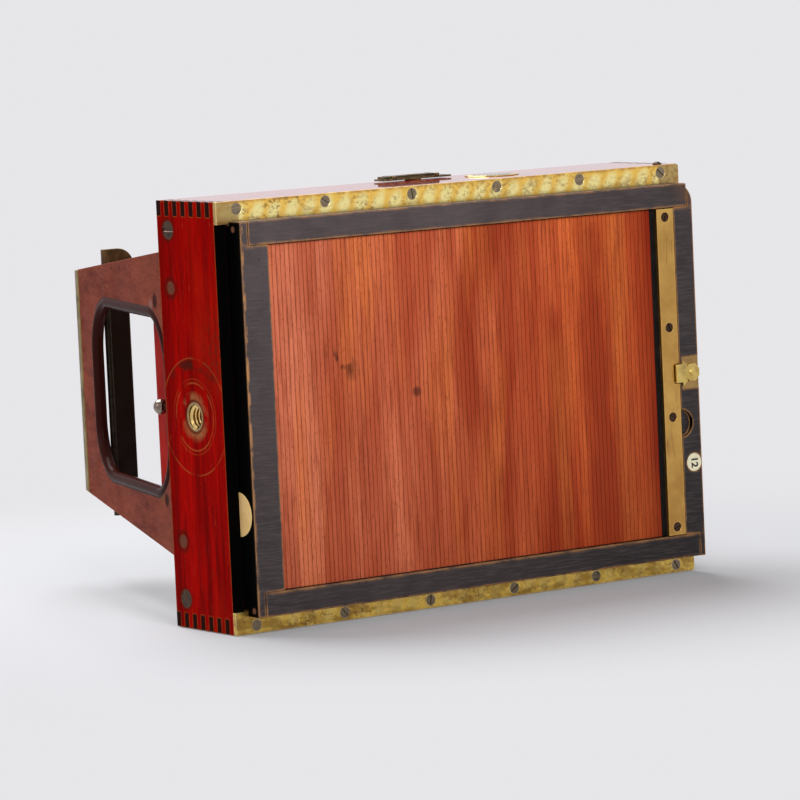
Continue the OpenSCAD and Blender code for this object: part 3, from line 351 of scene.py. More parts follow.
def shader_group(name, inputs, outputs):
    tree = bpy.data.node_groups.new(name, "ShaderNodeTree")
    for way, sockets in (("INPUT", inputs), ("OUTPUT", outputs)):
        for key, kind in sockets:
            tree.interface.new_socket(name=key, in_out=way, socket_type="NodeSocket" + kind)
    return tree, tree.nodes.new("NodeGroupInput").outputs, tree.nodes.new("NodeGroupOutput").inputs


def rubbed_edges():
    """Mask of the arrises that hands and cloths have rubbed, broken up by a fine noise."""
    tree, given, result = shader_group(
        "rubbed_edges",
        [("Place", "Vector"), ("Width", "Float"), ("Patches", "Float"), ("Gain", "Float")],
        [("Mask", "Float")],
    )
    geometry = add_node(tree, "NewGeometry")
    rounded = add_node(tree, "Bevel")
    rounded.samples = 4
    along = add_node(tree, "VectorMath", "DOT_PRODUCT")
    turned = add_node(tree, "Math", "SUBTRACT")
    turned.inputs[0].default_value = 1.0
    patches = add_node(tree, "TexNoise", Detail=5.0)
    spread = add_node(tree, "MapRange", From_Min=0.38, From_Max=0.62, To_Min=0.12)
    gain = add_node(tree, "Math", "MULTIPLY")
    keep = add_node(tree, "Math", "MULTIPLY")
    keep.use_clamp = True
    tree.links.new(given["Width"], rounded.inputs["Radius"])
    tree.links.new(rounded.outputs[0], along.inputs[0])
    tree.links.new(geometry.outputs["Normal"], along.inputs[1])
    tree.links.new(along.outputs["Value"], turned.inputs[1])
    tree.links.new(given["Place"], patches.inputs["Vector"])
    tree.links.new(given["Patches"], patches.inputs["Scale"])
    tree.links.new(patches.outputs[0], spread.inputs["Value"])
    tree.links.new(turned.outputs[0], gain.inputs[0])
    tree.links.new(given["Gain"], gain.inputs[1])
    tree.links.new(gain.outputs[0], keep.inputs[0])
    tree.links.new(spread.outputs[0], keep.inputs[1])
    tree.links.new(keep.outputs[0], result["Mask"])
    return tree


def wood_figure():
    """Long grain: a broad figure and fine pores, drawn out along one way of the board."""
    tree, given, result = shader_group(
        "wood_figure",
        [("Along", "Vector"), ("Bands", "Float")],
        [("Figure", "Float"), ("Pore", "Float")],
    )
    bands = add_node(tree, "TexNoise", Detail=6.0, Roughness=0.6, Distortion=0.6)
    pores = add_node(tree, "TexNoise", Scale=1.0, Detail=2.0)
    cut = add_node(tree, "MapRange", From_Min=0.52, From_Max=0.68)
    tree.links.new(given["Along"], bands.inputs["Vector"])
    tree.links.new(given["Bands"], bands.inputs["Scale"])
    tree.links.new(given["Along"], pores.inputs["Vector"])
    tree.links.new(pores.outputs[0], cut.inputs["Value"])
    tree.links.new(bands.outputs[0], result["Figure"])
    tree.links.new(cut.outputs[0], result["Pore"])
    return tree


rubbed = rubbed_edges()
figure = wood_figure()


def red_polish(name, along, end_axis, marks, coat=0.0, turn=(0, 0, 0)):
    """Deep red polished mahogany; along is the grain's stretch, end_axis the way its blackened ends face."""
    paint = Paint(name, coat=coat, coat_rough=0.05, gloss=0.006)
    grain = paint.group(figure, Along=paint.stretch(*along, turn=turn), Bands=0.16)
    x, y, z = paint.axes()
    face_x, face_y, face_z = paint.facing()
    color = paint.mix(paint.ramp(grain["Figure"], 0.34, 0.66), (0.19, 0.0004, 0.0003), (0.44, 0.0022, 0.0006))
    streak = paint.ramp(paint.cloud((v * 0.35 for v in along), 3.0, 0.6, 0.5, turn=turn), 0.52, 0.66)
    color = paint.mix(paint.mul(streak, 0.55), color, (0.11, 0.0010, 0.0008))
    color = paint.mix(paint.mul(grain["Pore"], 0.5), color, (0.085, 0.0020, 0.0012))
    blotch = paint.ramp(paint.cloud((30, 30, 12), 4.0), 0.50, 0.70, 0.0, 0.75)
    color = paint.mix(blotch, color, (0.42, 0.010, 0.002))
    hair = paint.ramp(paint.cloud((260, 900, 120), 2.0, 0.5, 1.5, turn=(0.9, 0, 0)), 0.70, 0.74)
    color = paint.mix(paint.mul(hair, 0.5), color, (0.50, 0.07, 0.02))
    worn = paint.worn(0.0009, 240.0, 14.0)
    color = paint.mix(worn, color, (0.42, 0.085, 0.015))
    for mark_color, mask in marks(paint, x, y, z):
        color = paint.mix(mask, color, mark_color)
    ends = paint.size({"x": face_x, "z": face_z}[end_axis])
    black = paint.ramp(ends, 0.8, 0.95)
    color = paint.mix(black, color, (0.022, 0.006, 0.005))
    below = paint.ramp(z, black_back_top - 0.0005, black_back_top + 0.0005, 1.0, 0.0)
    back = paint.mul(paint.ramp(face_y, -0.95, -0.8, 1.0, 0.0), below)
    color = paint.mix(back, color, (0.0016, 0.0013, 0.0013))
    rough = paint.ramp(paint.cloud((90, 90, 90), 3.0), 0.3, 0.7, 0.26, 0.42)
    height = paint.sub(paint.mul(grain["Figure"], 0.4), grain["Pore"])
    flat = paint.ramp(face_z, 0.5, 0.9, 0.0, coat) if coat else None
    return paint.finish(color, rough, height, 0.00006, 0.35, coat=flat)


def side_marks(paint, x, y, z):
    """Around the tripod bush: the rubbed ring and the scratched circles; round the screws, dark bruises."""
    bush_y = -0.0695
    away = paint.disc(y, z, bush_y, side_bush_z)
    scuff = paint.cloud((420, 420, 420), 5.0)
    broad = paint.cloud((110, 110, 110), 4.0)
    broad = paint.mul(broad, paint.ramp(x, 0.0, -0.01))
    ring = paint.mul(paint.between(away, 0.0059, 0.0093, 0.0012), paint.ramp(broad, 0.40, 0.56))
    yield (0.36, 0.13, 0.050), paint.mul(ring, 0.9)
    yield (0.06, 0.010, 0.006), paint.mul(paint.between(away, 0.0058, 0.0069, 0.0004), 0.7)
    for radius, width, share in ((0.0134, 0.00034, 0.65), (0.0150, 0.00016, 0.5), (0.0232, 0.00024, 0.75)):
        line = paint.between(away, radius - width, radius + width, 0.0002)
        line = paint.mul(line, paint.ramp(broad, 0.38, 0.52))
        yield (0.40, 0.085, 0.022), paint.mul(line, share)
    upper = paint.mul(paint.ramp(z, 0.0985, 0.1035), paint.ramp(broad, 0.44, 0.56))
    arc = paint.mul(paint.between(away, 0.0188, 0.0228, 0.0009), upper)
    yield (0.055, 0.010, 0.005), paint.mul(arc, 0.85)
    rub = paint.mul(paint.between(z, 0.098, 0.122, 0.008), paint.ramp(y, back_y + 0.016, back_y + 0.002))
    yield (0.14, 0.016, 0.006), paint.mul(paint.mul(rub, paint.ramp(scuff, 0.44, 0.60)), 0.8)
    for screw_z in side_screws_z:
        spot = paint.disc(y, z, side_screws_y, screw_z)
        yield (0.06, 0.006, 0.004), paint.mul(paint.between(spot, 0.0026, 0.0047, 0.0006), 0.6)


def dents(paint):
    """Small dark dents scattered over the polish."""
    return (0.04, 0.01, 0.008), paint.mul(paint.ramp(paint.cloud((300, 300, 300), 2.0), 0.7, 0.8), 0.4)


def plain_marks(paint, x, y, z):
    yield dents(paint)


def top_marks(paint, x, y, z):
    """The black inlaid line around the spirit level, and small dents."""
    away = paint.disc(x, y, *level_centre)
    yield (0.006, 0.004, 0.004), paint.between(away, 0.0151, 0.0158, 0.00015)
    yield dents(paint)


side_polish = red_polish("side_polish", (900, 900, 60), "z", side_marks, turn=(0.10, 0, 0))
top_polish = red_polish("top_polish", (60, 900, 900), "x", top_marks, 1.0)
top_polish.node_tree.nodes["Principled BSDF"].inputs["Coat IOR"].default_value = 1.75
plain_polish = red_polish("plain_polish", (900, 900, 60), "z", plain_marks)
for node, polish in (
    ("left_side_board", side_polish), ("right_side_board", side_polish),
    ("top_board", top_polish), ("bottom_board", top_polish),
):
    dressed(node, "_polished", 0.0004, polish)

# Screws, plugs and bushes of the body: brass screws gone brown, wooden plugs over two more,
# and threaded brass bushes for the tripod, let into the side and the bottom boards.


def aged_brass(name, light, dark, brown, spots=60.0, shine=(0.22, 0.42), streaks=(120, 120, 120)):
    """Brass with tarnish clouds, brown stains and bright rubbed edges."""
    paint = Paint(name, metallic=1.0)
    cloud = paint.ramp(paint.cloud((spots, spots, spots), 5.0, 0.6), 0.36, 0.66)
    stain = paint.ramp(paint.cloud(streaks, 5.0, 0.65, 0.5), 0.55, 0.72)
    color = paint.mix(cloud, light, dark)
    color = paint.mix(paint.mul(stain, 0.8), color, brown)
    worn = paint.worn(0.0008, 500.0)
    color = paint.mix(worn, color, tuple(min(1.0, c * 1.25) for c in light))
    rough = paint.add(paint.ramp(cloud, 0.0, 1.0, *shine), paint.mul(stain, 0.18))
    fine = paint.cloud((900, 900, 900), 2.0)
    return paint.finish(color, rough, fine, 0.00003, 0.25, metallic=paint.ramp(stain, 0.0, 1.0, 1.0, 0.55))


def plug_polish():
    paint = Paint("plug_wood", gloss=0.08)
    grain = paint.cloud((400, 900, 900), 4.0)
    color = paint.mix(grain, (0.07, 0.018, 0.009), (0.20, 0.055, 0.024))
    return paint.finish(color, 0.45, grain, 0.0001, 0.4)


fitting_brass = aged_brass("fitting_brass", (0.46, 0.31, 0.10), (0.30, 0.20, 0.07), (0.09, 0.045, 0.02))
bush_brass = aged_brass("bush_brass", (0.40, 0.28, 0.13), (0.22, 0.13, 0.05), (0.07, 0.035, 0.018),
                        shine=(0.25, 0.45), spots=300.0)
base_brass = aged_brass("base_brass", (0.40, 0.25, 0.09), (0.24, 0.13, 0.045), (0.08, 0.04, 0.015),
                        shine=(0.3, 0.5))
latch_brass = aged_brass("latch_brass", (0.72, 0.54, 0.17), (0.54, 0.37, 0.10), (0.22, 0.12, 0.04),
                         spots=160.0)
dull_brass = aged_brass("dull_brass", (0.26, 0.19, 0.06), (0.16, 0.11, 0.035), (0.05, 0.03, 0.012),
                        shine=(0.3, 0.5))
bright_brass = aged_brass("bright_brass", (0.72, 0.52, 0.20), (0.52, 0.36, 0.12), (0.20, 0.11, 0.04),
                          shine=(0.14, 0.28))
screw_brass = aged_brass("screw_brass", (0.085, 0.048, 0.030), (0.034, 0.017, 0.011), (0.014, 0.007, 0.005),
                         spots=500.0)
plug_wood = plug_polish()


def repaint(node, material):
    """The node keeps its own shape and takes this material."""
    skin = frame["nodes"][node].data.materials
    skin.clear()
    skin.append(material)


dressed("side_screws", "_slotted", 0.00015, screw_brass, 1)
dressed("side_plugs", "_cut", 0.0002, plug_wood, 1)
dressed("side_tripod_bush", "_turned", 0.0003, bush_brass)
dressed("bottom_tripod_bush", "_turned", 0.0003, bush_brass)
thread_pitch = 0.0015875
thread_turns = 4
thread_r = 0.00456
thread_tip_r = 0.00088
thread_start = 0.0009
thread_sunk = 0.0003
for name, quarter, seat in (
    ("side_bush_thread", 90, (-body_half_w + thread_sunk, back_y + board_half_t, side_bush_z)),
    ("bottom_bush_thread", 0, (0.0, back_y + board_half_t, thread_sunk)),
):
    bpy.ops.object.select_all(action="DESELECT")
    bpy.ops.mesh.primitive_circle_add(vertices=3, radius=thread_tip_r, rotation=(math.radians(90), 0, 0))
    thread = bpy.context.object
    thread.name = name
    bpy.ops.object.transform_apply(location=True, rotation=True, scale=True)
    thread.data.transform(Matrix.Rotation(math.radians(-90), 4, "Y") @ Matrix.Diagonal((1.0, 1.0, 0.8, 1.0)))
    thread.data.transform(Matrix.Translation((thread_r, 0, thread_start)))
    coil = thread.modifiers.new("coil", "SCREW")
    coil.axis = "Z"
    coil.screw_offset = thread_pitch
    coil.iterations = thread_turns
    coil.steps = 48
    coil.render_steps = 48
    coil.use_normal_calculate = True
    finish_modifiers(thread)
    bpy.ops.object.mode_set(mode="EDIT")
    bpy.ops.mesh.select_all(action="SELECT")
    bpy.ops.mesh.normals_make_consistent(inside=False)
    bpy.ops.object.mode_set(mode="OBJECT")
    thread.data.transform(Matrix.Translation(seat) @ Matrix.Rotation(math.radians(quarter), 4, "Y"))
    bpy.ops.object.shade_smooth_by_angle(angle=math.radians(50))
    thread.data.materials.append(bright_brass)
    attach(thread, "camera_body")

# The rails: two lipped brass strips screwed to the back edge of the body, in which the plate holder slides.
# Their faces are spot finished in a regular row under old lacquer, with brown stains around the screws.
rail_middle_z = (0.00445, 0.16555)
rail_plain_x = 0.104
spot_pitch = 0.0083


def spotted_brass():
    paint = Paint("rail_brass", metallic=1.0, coat=0.2, coat_rough=0.15)
    x, y, z = paint.axes()
    low = paint.math("LESS_THAN", z, sum(rail_middle_z) / 2)
    middle = paint.add(paint.mul(low, rail_middle_z[0] - rail_middle_z[1]), rail_middle_z[1])
    up = paint.sub(z, middle)
    lean = paint.add(x, paint.mul(up, -0.35))
    cell = paint.sub(paint.math("FRACT", paint.div(lean, spot_pitch)), 0.5)
    swirl = paint.mul(paint.add(up, 0.0006), 0.75 / spot_pitch)
    away = paint.math("SQRT", paint.add(paint.math("POWER", cell, 2.0), paint.math("POWER", swirl, 2.0)))
    wobble = paint.cloud((240, 240, 240), 4.0)
    away = paint.add(away, paint.mul(paint.sub(wobble, 0.5), 0.35))
    spot = paint.ramp(away, 0.20, 0.46)
    fine = paint.cloud((700, 700, 700), 4.0)
    stain = paint.ramp(paint.cloud((60, 200, 150), 6.0, 0.68, 0.8), 0.54, 0.68)
    left_part = paint.ramp(x, -0.02, -0.10)
    specks = paint.ramp(paint.cloud((520, 640, 620), 5.0, 0.72), 0.50, 0.57)
    specks = paint.mul(specks, paint.ramp(left_part, 0.0, 1.0, 0.55, 1.0))
    plain_end = paint.ramp(paint.size(x), rail_plain_x - 0.0005, rail_plain_x + 0.0005)
    color = paint.mix(spot, (1.0, 0.88, 0.36), (0.96, 0.60, 0.10))
    color = paint.mix(paint.mul(paint.ramp(fine, 0.35, 0.7), 0.3), color, (0.95, 0.70, 0.24))
    color = paint.mix(plain_end, color, (0.50, 0.36, 0.13))
    edge = paint.ramp(paint.size(up), 0.0031, 0.0043, 0.0, 0.9)
    color = paint.mix(paint.mul(edge, paint.ramp(wobble, 0.36, 0.56)), color, (0.52, 0.24, 0.04))
    color = paint.mix(paint.mul(stain, 0.75), color, (0.42, 0.24, 0.07))
    brown = paint.ramp(paint.cloud((110, 200, 240), 5.0, 0.6, shift=(5, 1, 2)), 0.42, 0.60, 0.05, 0.72)
    color = paint.mix(paint.mul(low, 0.75), color, (1.0, 0.68, 0.13))
    color = paint.mix(paint.mul(low, brown), color, (0.34, 0.17, 0.022))
    clumps = paint.ramp(paint.cloud((70, 200, 120), 3.0, shift=(1, 2, 3)), 0.40, 0.56, 0.10, 1.0)
    specks = paint.mul(specks, clumps)
    color = paint.mix(paint.mul(specks, 0.85), color, (0.22, 0.085, 0.020))
    worn = paint.worn(0.0006, 300.0)
    color = paint.mix(paint.mul(worn, 0.7), color, (0.90, 0.76, 0.42))
    rough = paint.add(paint.ramp(spot, 0.0, 1.0, 0.22, 0.36), paint.mul(stain, 0.15))
    return paint.finish(color, rough, away, 0.00010, 0.4, metallic=paint.ramp(specks, 0.0, 1.0, 1.0, 0.75))


rail_brass = spotted_brass()
for node in ("top_rail", "bottom_rail"):
    dressed(node, "_spotted", 0.00035, rail_brass)
rail_screw_brass = aged_brass("rail_screw_brass", (0.30, 0.24, 0.16), (0.16, 0.12, 0.08), (0.05, 0.03, 0.02),
                              spots=500.0)
dressed("rail_screws", "_slotted", 0.00012, rail_screw_brass, 1)

# Inside the body: the blackened frame that the holder bears on, and the bellows of dark red leather.
# The bellows is glued round the frame and to the back of the front board, and lies folded flat.
fold_count = 9
fold_depth = 0.0068
bellows_back = back_y + 0.0073
bellows_front = back_y + 0.0144
rear_half = (0.0965, 0.0695)
front_half = (0.0490, 0.0470)
fold_step = (bellows_front - bellows_back) / fold_count
leather_z = 0.086
leather_t = 0.00022


def dusty_black():
    paint = Paint("black_inside", gloss=0.12)
    dust = paint.cloud((220, 220, 220), 4.0)
    color = paint.mix(paint.ramp(dust, 0.45, 0.75), (0.003, 0.0025, 0.0025), (0.012, 0.010, 0.009))
    return paint.finish(color, paint.ramp(dust, 0.3, 0.7, 0.55, 0.75), dust, 0.00005, 0.3)


def dark_leather():
    """Thin dark red leather with a fine pebbled face, paler where the folds have rubbed."""
    paint = Paint("bellows_leather")
    pebble = add_node(paint.tree, "TexVoronoi", Scale=1400.0)
    paint.join(paint.place, pebble.inputs["Vector"])
    tone = paint.cloud((80, 80, 80), 4.0)
    color = paint.mix(tone, (0.055, 0.010, 0.010), (0.105, 0.018, 0.014))
    color = paint.mix(paint.worn(0.0008, 300.0), color, (0.22, 0.07, 0.05))
    return paint.finish(color, 0.5, pebble.outputs["Distance"], 0.00012, 0.5)


black_inside = dusty_black()
dressed("rear_frame", "_blackened", 0.0004, black_inside)
dressed("right_hinge_strip", "_polished", 0.0004, plain_polish)

bpy.ops.mesh.primitive_plane_add(size=2.0, rotation=(math.radians(90), 0, 0))
bellows = bpy.context.object
bellows.name = "folded_bellows"
bpy.ops.object.transform_apply(location=True, rotation=True, scale=True)
bellows.data.transform(Matrix.Diagonal((rear_half[0], 1.0, rear_half[1], 1.0)))
bellows.data.transform(Matrix.Translation((0, bellows_back, leather_z)))
choose_only(bellows)
bpy.ops.object.mode_set(mode="EDIT")
bpy.ops.mesh.select_all(action="SELECT")
bpy.ops.mesh.delete(type="ONLY_FACE")
bpy.ops.mesh.select_all(action="SELECT")
half_now = list(rear_half)
for fold in range(fold_count):
    share_in = (fold + 0.5) / fold_count
    share_out = (fold + 1.0) / fold_count
    for share, inset in ((share_in, fold_depth), (share_out, 0.0)):
        half_next = [rear_half[i] * (1 - share) + front_half[i] * share - inset for i in (0, 1)]
        bpy.ops.mesh.extrude_edges_move(TRANSFORM_OT_translate={"value": (0, fold_step / 2, 0)})
        middle = (0, bellows_back + share * (bellows_front - bellows_back), leather_z)
        bpy.ops.transform.resize(
            value=(half_next[0] / half_now[0], 1.0, half_next[1] / half_now[1]), center_override=middle)
        half_now = half_next
bpy.ops.object.mode_set(mode="OBJECT")
leather_wall = bellows.modifiers.new("wall", "SOLIDIFY")
leather_wall.thickness = leather_t
leather_wall.offset = 0.0
finish_modifiers(bellows)
bellows.data.materials.append(dark_leather())
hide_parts("bellows")
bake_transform(bellows)

# The front board is mahogany with the lens in a screwed brass flange; the barrel is lacquered brass,
# blackened inside, with a knurled ring that works the iris. The cheeks are of the same wood, mixed here too:
# places on them are given as the distance behind the front end and the height above the ground.
cheek_sin, cheek_cos = 0.27564, 0.96126
cheek_front = 0.080596
window_centre = (0.0775, 0.0852)
window_half = (0.0515, 0.0344)
window_corner = 0.020
# Marks on the cheeks near the hinges, each (back, z, size, tint): the darkest are painted shade standing in
# for the holes of the fixings; the others are pale, brass and brown patches.
hinge_holes_and_patches = (
    (0.1204, 0.1272, 0.0030, (0.014, 0.004, 0.003)), (0.1235, 0.0464, 0.0028, (0.014, 0.005, 0.003)),
    (0.1140, 0.1255, 0.0022, (0.26, 0.13, 0.11)), (0.1170, 0.0475, 0.0022, (0.16, 0.08, 0.025)),
    (0.0180, 0.1270, 0.0012, (0.10, 0.03, 0.02)), (0.0190, 0.0470, 0.0012, (0.10, 0.03, 0.02)),
)


def brown_mahogany(name, along, coat=0.0):
    """Mahogany of the struts: browner and less glossy than the body, with a fine straight figure.

    With a coat it is the cheeks' wood: dark holes at the fittings painted in as shade, with pale and brass
    patches beside them, and a polished roll round the window.
    """
    paint = Paint(name, coat=coat, coat_rough=0.10, gloss=0.006)
    grain = paint.group(figure, Along=paint.stretch(*along), Bands=0.25)
    color = paint.mix(paint.ramp(grain["Figure"], 0.34, 0.68), (0.145, 0.032, 0.020), (0.26, 0.060, 0.036))
    dash = paint.cloud((v * 1.6 for v in along), 3.0, 0.6)
    color = paint.mix(paint.ramp(dash, 0.48, 0.66, 0.0, 0.55), color, (0.13, 0.028, 0.022))
    color = paint.mix(paint.mul(grain["Pore"], 0.5), color, (0.07, 0.018, 0.014))
    glow = paint.ramp(paint.cloud((18, 18, 30), 3.0), 0.45, 0.75, 0.0, 0.45)
    color = paint.mix(glow, color, (0.40, 0.095, 0.050))
    worn = paint.worn(0.0008, 220.0)
    color = paint.mix(paint.mul(worn, 0.6), color, (0.42, 0.14, 0.08))
    rough = paint.ramp(paint.cloud((110, 110, 110), 3.0), 0.3, 0.7, 0.34, 0.50)
    height = paint.sub(paint.mul(grain["Figure"], 0.5), grain["Pore"])
    if not coat:
        return paint.finish(color, rough, height, 0.00008, 0.4)
    x, y, z = paint.axes()
    back = paint.add(paint.mul(paint.size(x), cheek_sin), cheek_front)
    back = paint.sub(back, paint.mul(y, cheek_cos))
    # painted shade for the holes at the fittings, and the patches beside them
    for mark_back, mark_z, size, tint in hinge_holes_and_patches:
        away = paint.disc(back, z, mark_back, mark_z)
        color = paint.mix(paint.ramp(away, size * 0.75, size * 1.25, 0.85, 0.0), color, tint)
    reach_x = paint.sub(paint.size(paint.sub(back, window_centre[0])), window_half[0] - window_corner)
    reach_z = paint.sub(paint.size(paint.sub(z, window_centre[1])), window_half[1] - window_corner)
    outer = paint.disc(paint.math("MAXIMUM", reach_x, 0.0), paint.math("MAXIMUM", reach_z, 0.0), 0.0, 0.0)
    inner = paint.math("MINIMUM", paint.math("MAXIMUM", reach_x, reach_z), 0.0)
    edge = paint.sub(paint.add(outer, inner), window_corner)
    roll = paint.ramp(edge, 0.0044, 0.0052, 1.0, 0.0)
    color = paint.mix(roll, color, (0.036, 0.007, 0.005))
    rough = paint.mix(roll, rough, (0.10, 0.10, 0.10))
    return paint.finish(color, rough, height, 0.00008, 0.4, coat=paint.mul(roll, coat))


dark_bronze = aged_brass("dark_bronze", (0.30, 0.24, 0.19), (0.16, 0.12, 0.095), (0.05, 0.035, 0.03),
                         shine=(0.10, 0.2), spots=300.0)
cheek_wood = brown_mahogany("cheek_wood", (900, 45, 900), coat=0.07)
board_wood = brown_mahogany("board_wood", (60, 900, 900))
dressed("front_board", "_polished", 0.0008, board_wood)
dressed("lens_flange", "_turned", 0.0003, bright_brass)
dressed("flange_screws", "_slotted", 0.00012, screw_brass, 1)
dressed("lens_barrel", "_turned", 0.0003, bright_brass, angle=40)
dressed("iris_ring", "_turned", 0.0002, bright_brass)

# The struts: two mahogany cheeks with a rounded window, their front ends bound in brass.
# Each turns on two brass hinges screwed inside the body, and carries a polished stretcher and a black plate.
for side in ("left", "right"):
    dressed(side + "_cheek", "_shaped", 0.0005, cheek_wood)
    dressed(side + "_edging", "_bent", 0.0005, dull_brass)
    dressed(side + "_cheek_hinges", "_filed", 0.0001, fitting_brass, 1)
    dressed(side + "_body_hinges", "_filed", 0.0001, fitting_brass, 1)
    dressed(side + "_stretcher", "_polished", 0.0005, plain_polish)
    dressed(side + "_brackets", "_filed", 0.0002, fitting_brass, 1)
    repaint(side + "_ball_knob", dark_bronze)
repaint("hinge_pins", bright_brass)

# The black plates near the front ends: brass sheet under black lacquer, pinned through two brackets each.
# A painted reflection lies over the top of the plate as a bronze sheen, and the brass shows along the rubbed
# edges.
sheen_from_z = (0.133, 0.140)
sheen_to_z = (0.146, 0.145)


def lacquer_with_wear_and_sheen():
    paint = Paint("black_lacquer", coat=0.1, coat_rough=0.2, gloss=0.2)
    rub = paint.worn(0.0008, 420.0)
    tone = paint.cloud((120, 120, 120), 4.0)
    color = paint.mix(tone, (0.004, 0.003, 0.0025), (0.016, 0.009, 0.006))
    z = paint.axes()[2]
    patches = paint.ramp(paint.cloud((170, 170, 90), 4.0), 0.38, 0.62, 0.25, 0.95)
    # painted reflection: a patchy bronze sheen over the top of the plate, fading out at the very top
    top_sheen = paint.mul(paint.ramp(z, *sheen_from_z), patches)
    color = paint.mix(paint.mul(top_sheen, paint.ramp(z, *sheen_to_z)), color, (0.17, 0.085, 0.030))
    color = paint.mix(rub, color, (0.30, 0.20, 0.07))
    return paint.finish(color, paint.ramp(tone, 0.3, 0.7, 0.28, 0.45), tone, 0.00004, 0.3)


black_lacquer = lacquer_with_wear_and_sheen()
for side in ("left", "right"):
    dressed(side + "_front_plate", "_lacquered", 0.0003, black_lacquer)

# The plate holder: a frame of beech stained black and waxed, worn brown along its arrises,
# with a round scoop for the finger in the right stile.
holder_middle_z = 0.0845
holder_seam_x = -0.1052
holder_seam_up = 0.0680
holder_end_x = -0.1078
holder_corner = (0.1145, 0.1640)
peg_places = ((back_y - 0.0049, 0.1591), (back_y - 0.0069, 0.0096))


def waxed_beech():
    """Stained holder wood: fibres, scrapes and nicks, open joints, and the black left end with its pegs."""
    paint = Paint("holder_wood", gloss=0.22)
    x, y, z = paint.axes()
    grain = paint.group(figure, Along=paint.stretch(160, 900, 160), Bands=0.3)
    rub = paint.worn(0.0011, 170.0, 16.0)
    tone = paint.ramp(paint.cloud((60, 60, 60), 5.0, 0.6), 0.35, 0.7)
    color = paint.mix(tone, (0.058, 0.043, 0.045), (0.092, 0.071, 0.073))
    # painted shade: the holder wood darkens towards the bottom and towards the right
    painted_shade = paint.add(paint.ramp(z, 0.150, 0.020, 0.0, 0.50), paint.ramp(x, 0.0, 0.11, 0.0, 0.40))
    color = paint.mix(painted_shade, color, (0.010, 0.008, 0.0085))
    fibre = paint.cloud((90, 900, 1600), 3.0, 0.6)
    color = paint.mix(paint.ramp(fibre, 0.45, 0.7, 0.0, 0.35), color, (0.15, 0.115, 0.108))
    scrape = paint.ramp(paint.cloud((420, 520, 700), 4.0, 0.6), 0.66, 0.71)
    color = paint.mix(paint.mul(scrape, 0.7), color, (0.012, 0.009, 0.009))
    nicks = paint.ramp(paint.cloud((500, 520, 600), 4.0, 0.6, shift=(3, 5, 7)), 0.70, 0.74)
    color = paint.mix(paint.mul(nicks, 0.5), color, (0.24, 0.10, 0.05))
    up = paint.size(paint.sub(z, holder_middle_z))
    bare = paint.ramp(paint.cloud((260, 260, 110), 5.0, 0.62), 0.47, 0.54)
    left_edge = paint.mul(paint.ramp(x, holder_end_x - 0.0002, holder_end_x + 0.0003, 1.0, 0.0), bare)
    left_edge = paint.mul(left_edge, paint.ramp(z, 0.03, 0.10, 0.25, 1.0))
    color = paint.mix(left_edge, color, (0.42, 0.20, 0.085))
    from_seam = paint.size(paint.sub(x, holder_seam_x))
    joint_line = paint.ramp(from_seam, 0.00012, 0.00030, 1.0, 0.0)
    joint_line = paint.mul(joint_line, paint.ramp(up, holder_seam_up - 0.0002, holder_seam_up + 0.0002))
    color = paint.mix(joint_line, color, (0.006, 0.004, 0.004))
    edge_glow = paint.ramp(paint.size(paint.sub(up, holder_seam_up)), 0.0002, 0.0016, 0.45, 0.0)
    edge_glow = paint.mul(edge_glow, paint.ramp(paint.cloud((120, 120, 120), 4.0), 0.45, 0.6))
    color = paint.mix(edge_glow, color, (0.40, 0.19, 0.08))
    color = paint.mix(rub, color, (0.55, 0.26, 0.085))
    corner_wear = paint.ramp(paint.disc(x, z, *holder_corner), 0.004, 0.012, 1.0, 0.0)
    corner_wear = paint.mul(corner_wear, paint.ramp(paint.cloud((200, 200, 200), 4.0), 0.38, 0.55))
    color = paint.mix(paint.mul(corner_wear, 0.7), color, (0.19, 0.09, 0.045))
    left_end = paint.ramp(paint.facing()[0], -0.95, -0.8, 1.0, 0.0)
    color = paint.mix(left_end, color, (0.0016, 0.0012, 0.0012))
    paint.join(paint.ramp(left_end, 0.0, 1.0, 0.22, 0.01), paint.shader.inputs["Specular IOR Level"])
    for peg_y, peg_z in peg_places:
        peg = paint.ramp(paint.disc(y, z, peg_y, peg_z), 0.0011, 0.0014, 1.0, 0.0)
        color = paint.mix(paint.mul(paint.mul(left_end, peg), 0.9), color, (0.20, 0.085, 0.05))
    return paint.finish(color, paint.ramp(tone, 0.0, 1.0, 0.34, 0.52), grain["Figure"], 0.00008, 0.35)


holder_wood = waxed_beech()
for node in ("holder_left_stile", "holder_right_stile", "holder_top_member", "holder_bottom_member"):
    dressed(node, "_waxed", 0.0005, holder_wood)
for node in ("rear_lead_slat", "front_lead_slat"):
    dressed(node, "_waxed", 0.0003, black_inside)

# The tambours: narrow slats of polished mahogany glued side by side to a black cloth, so that they bend.
# One slat is shaped with a rounded face and copied across the opening.
slat_top = 0.1523
slat_bottom = 0.0168
tambour_left = -0.0958
tambour_right = 0.0934
slat_count = 92
slat_pitch = (tambour_right - tambour_left) / slat_count
slat_middle_z = (slat_bottom + slat_top) / 2
slat_t = 0.0018
slat_gap = 0.00010
slat_arris = 0.00028
cloth_t = 0.0008
stain_place = (-0.0275, 0.0885)
scuff_place = (0.0010, 0.103)


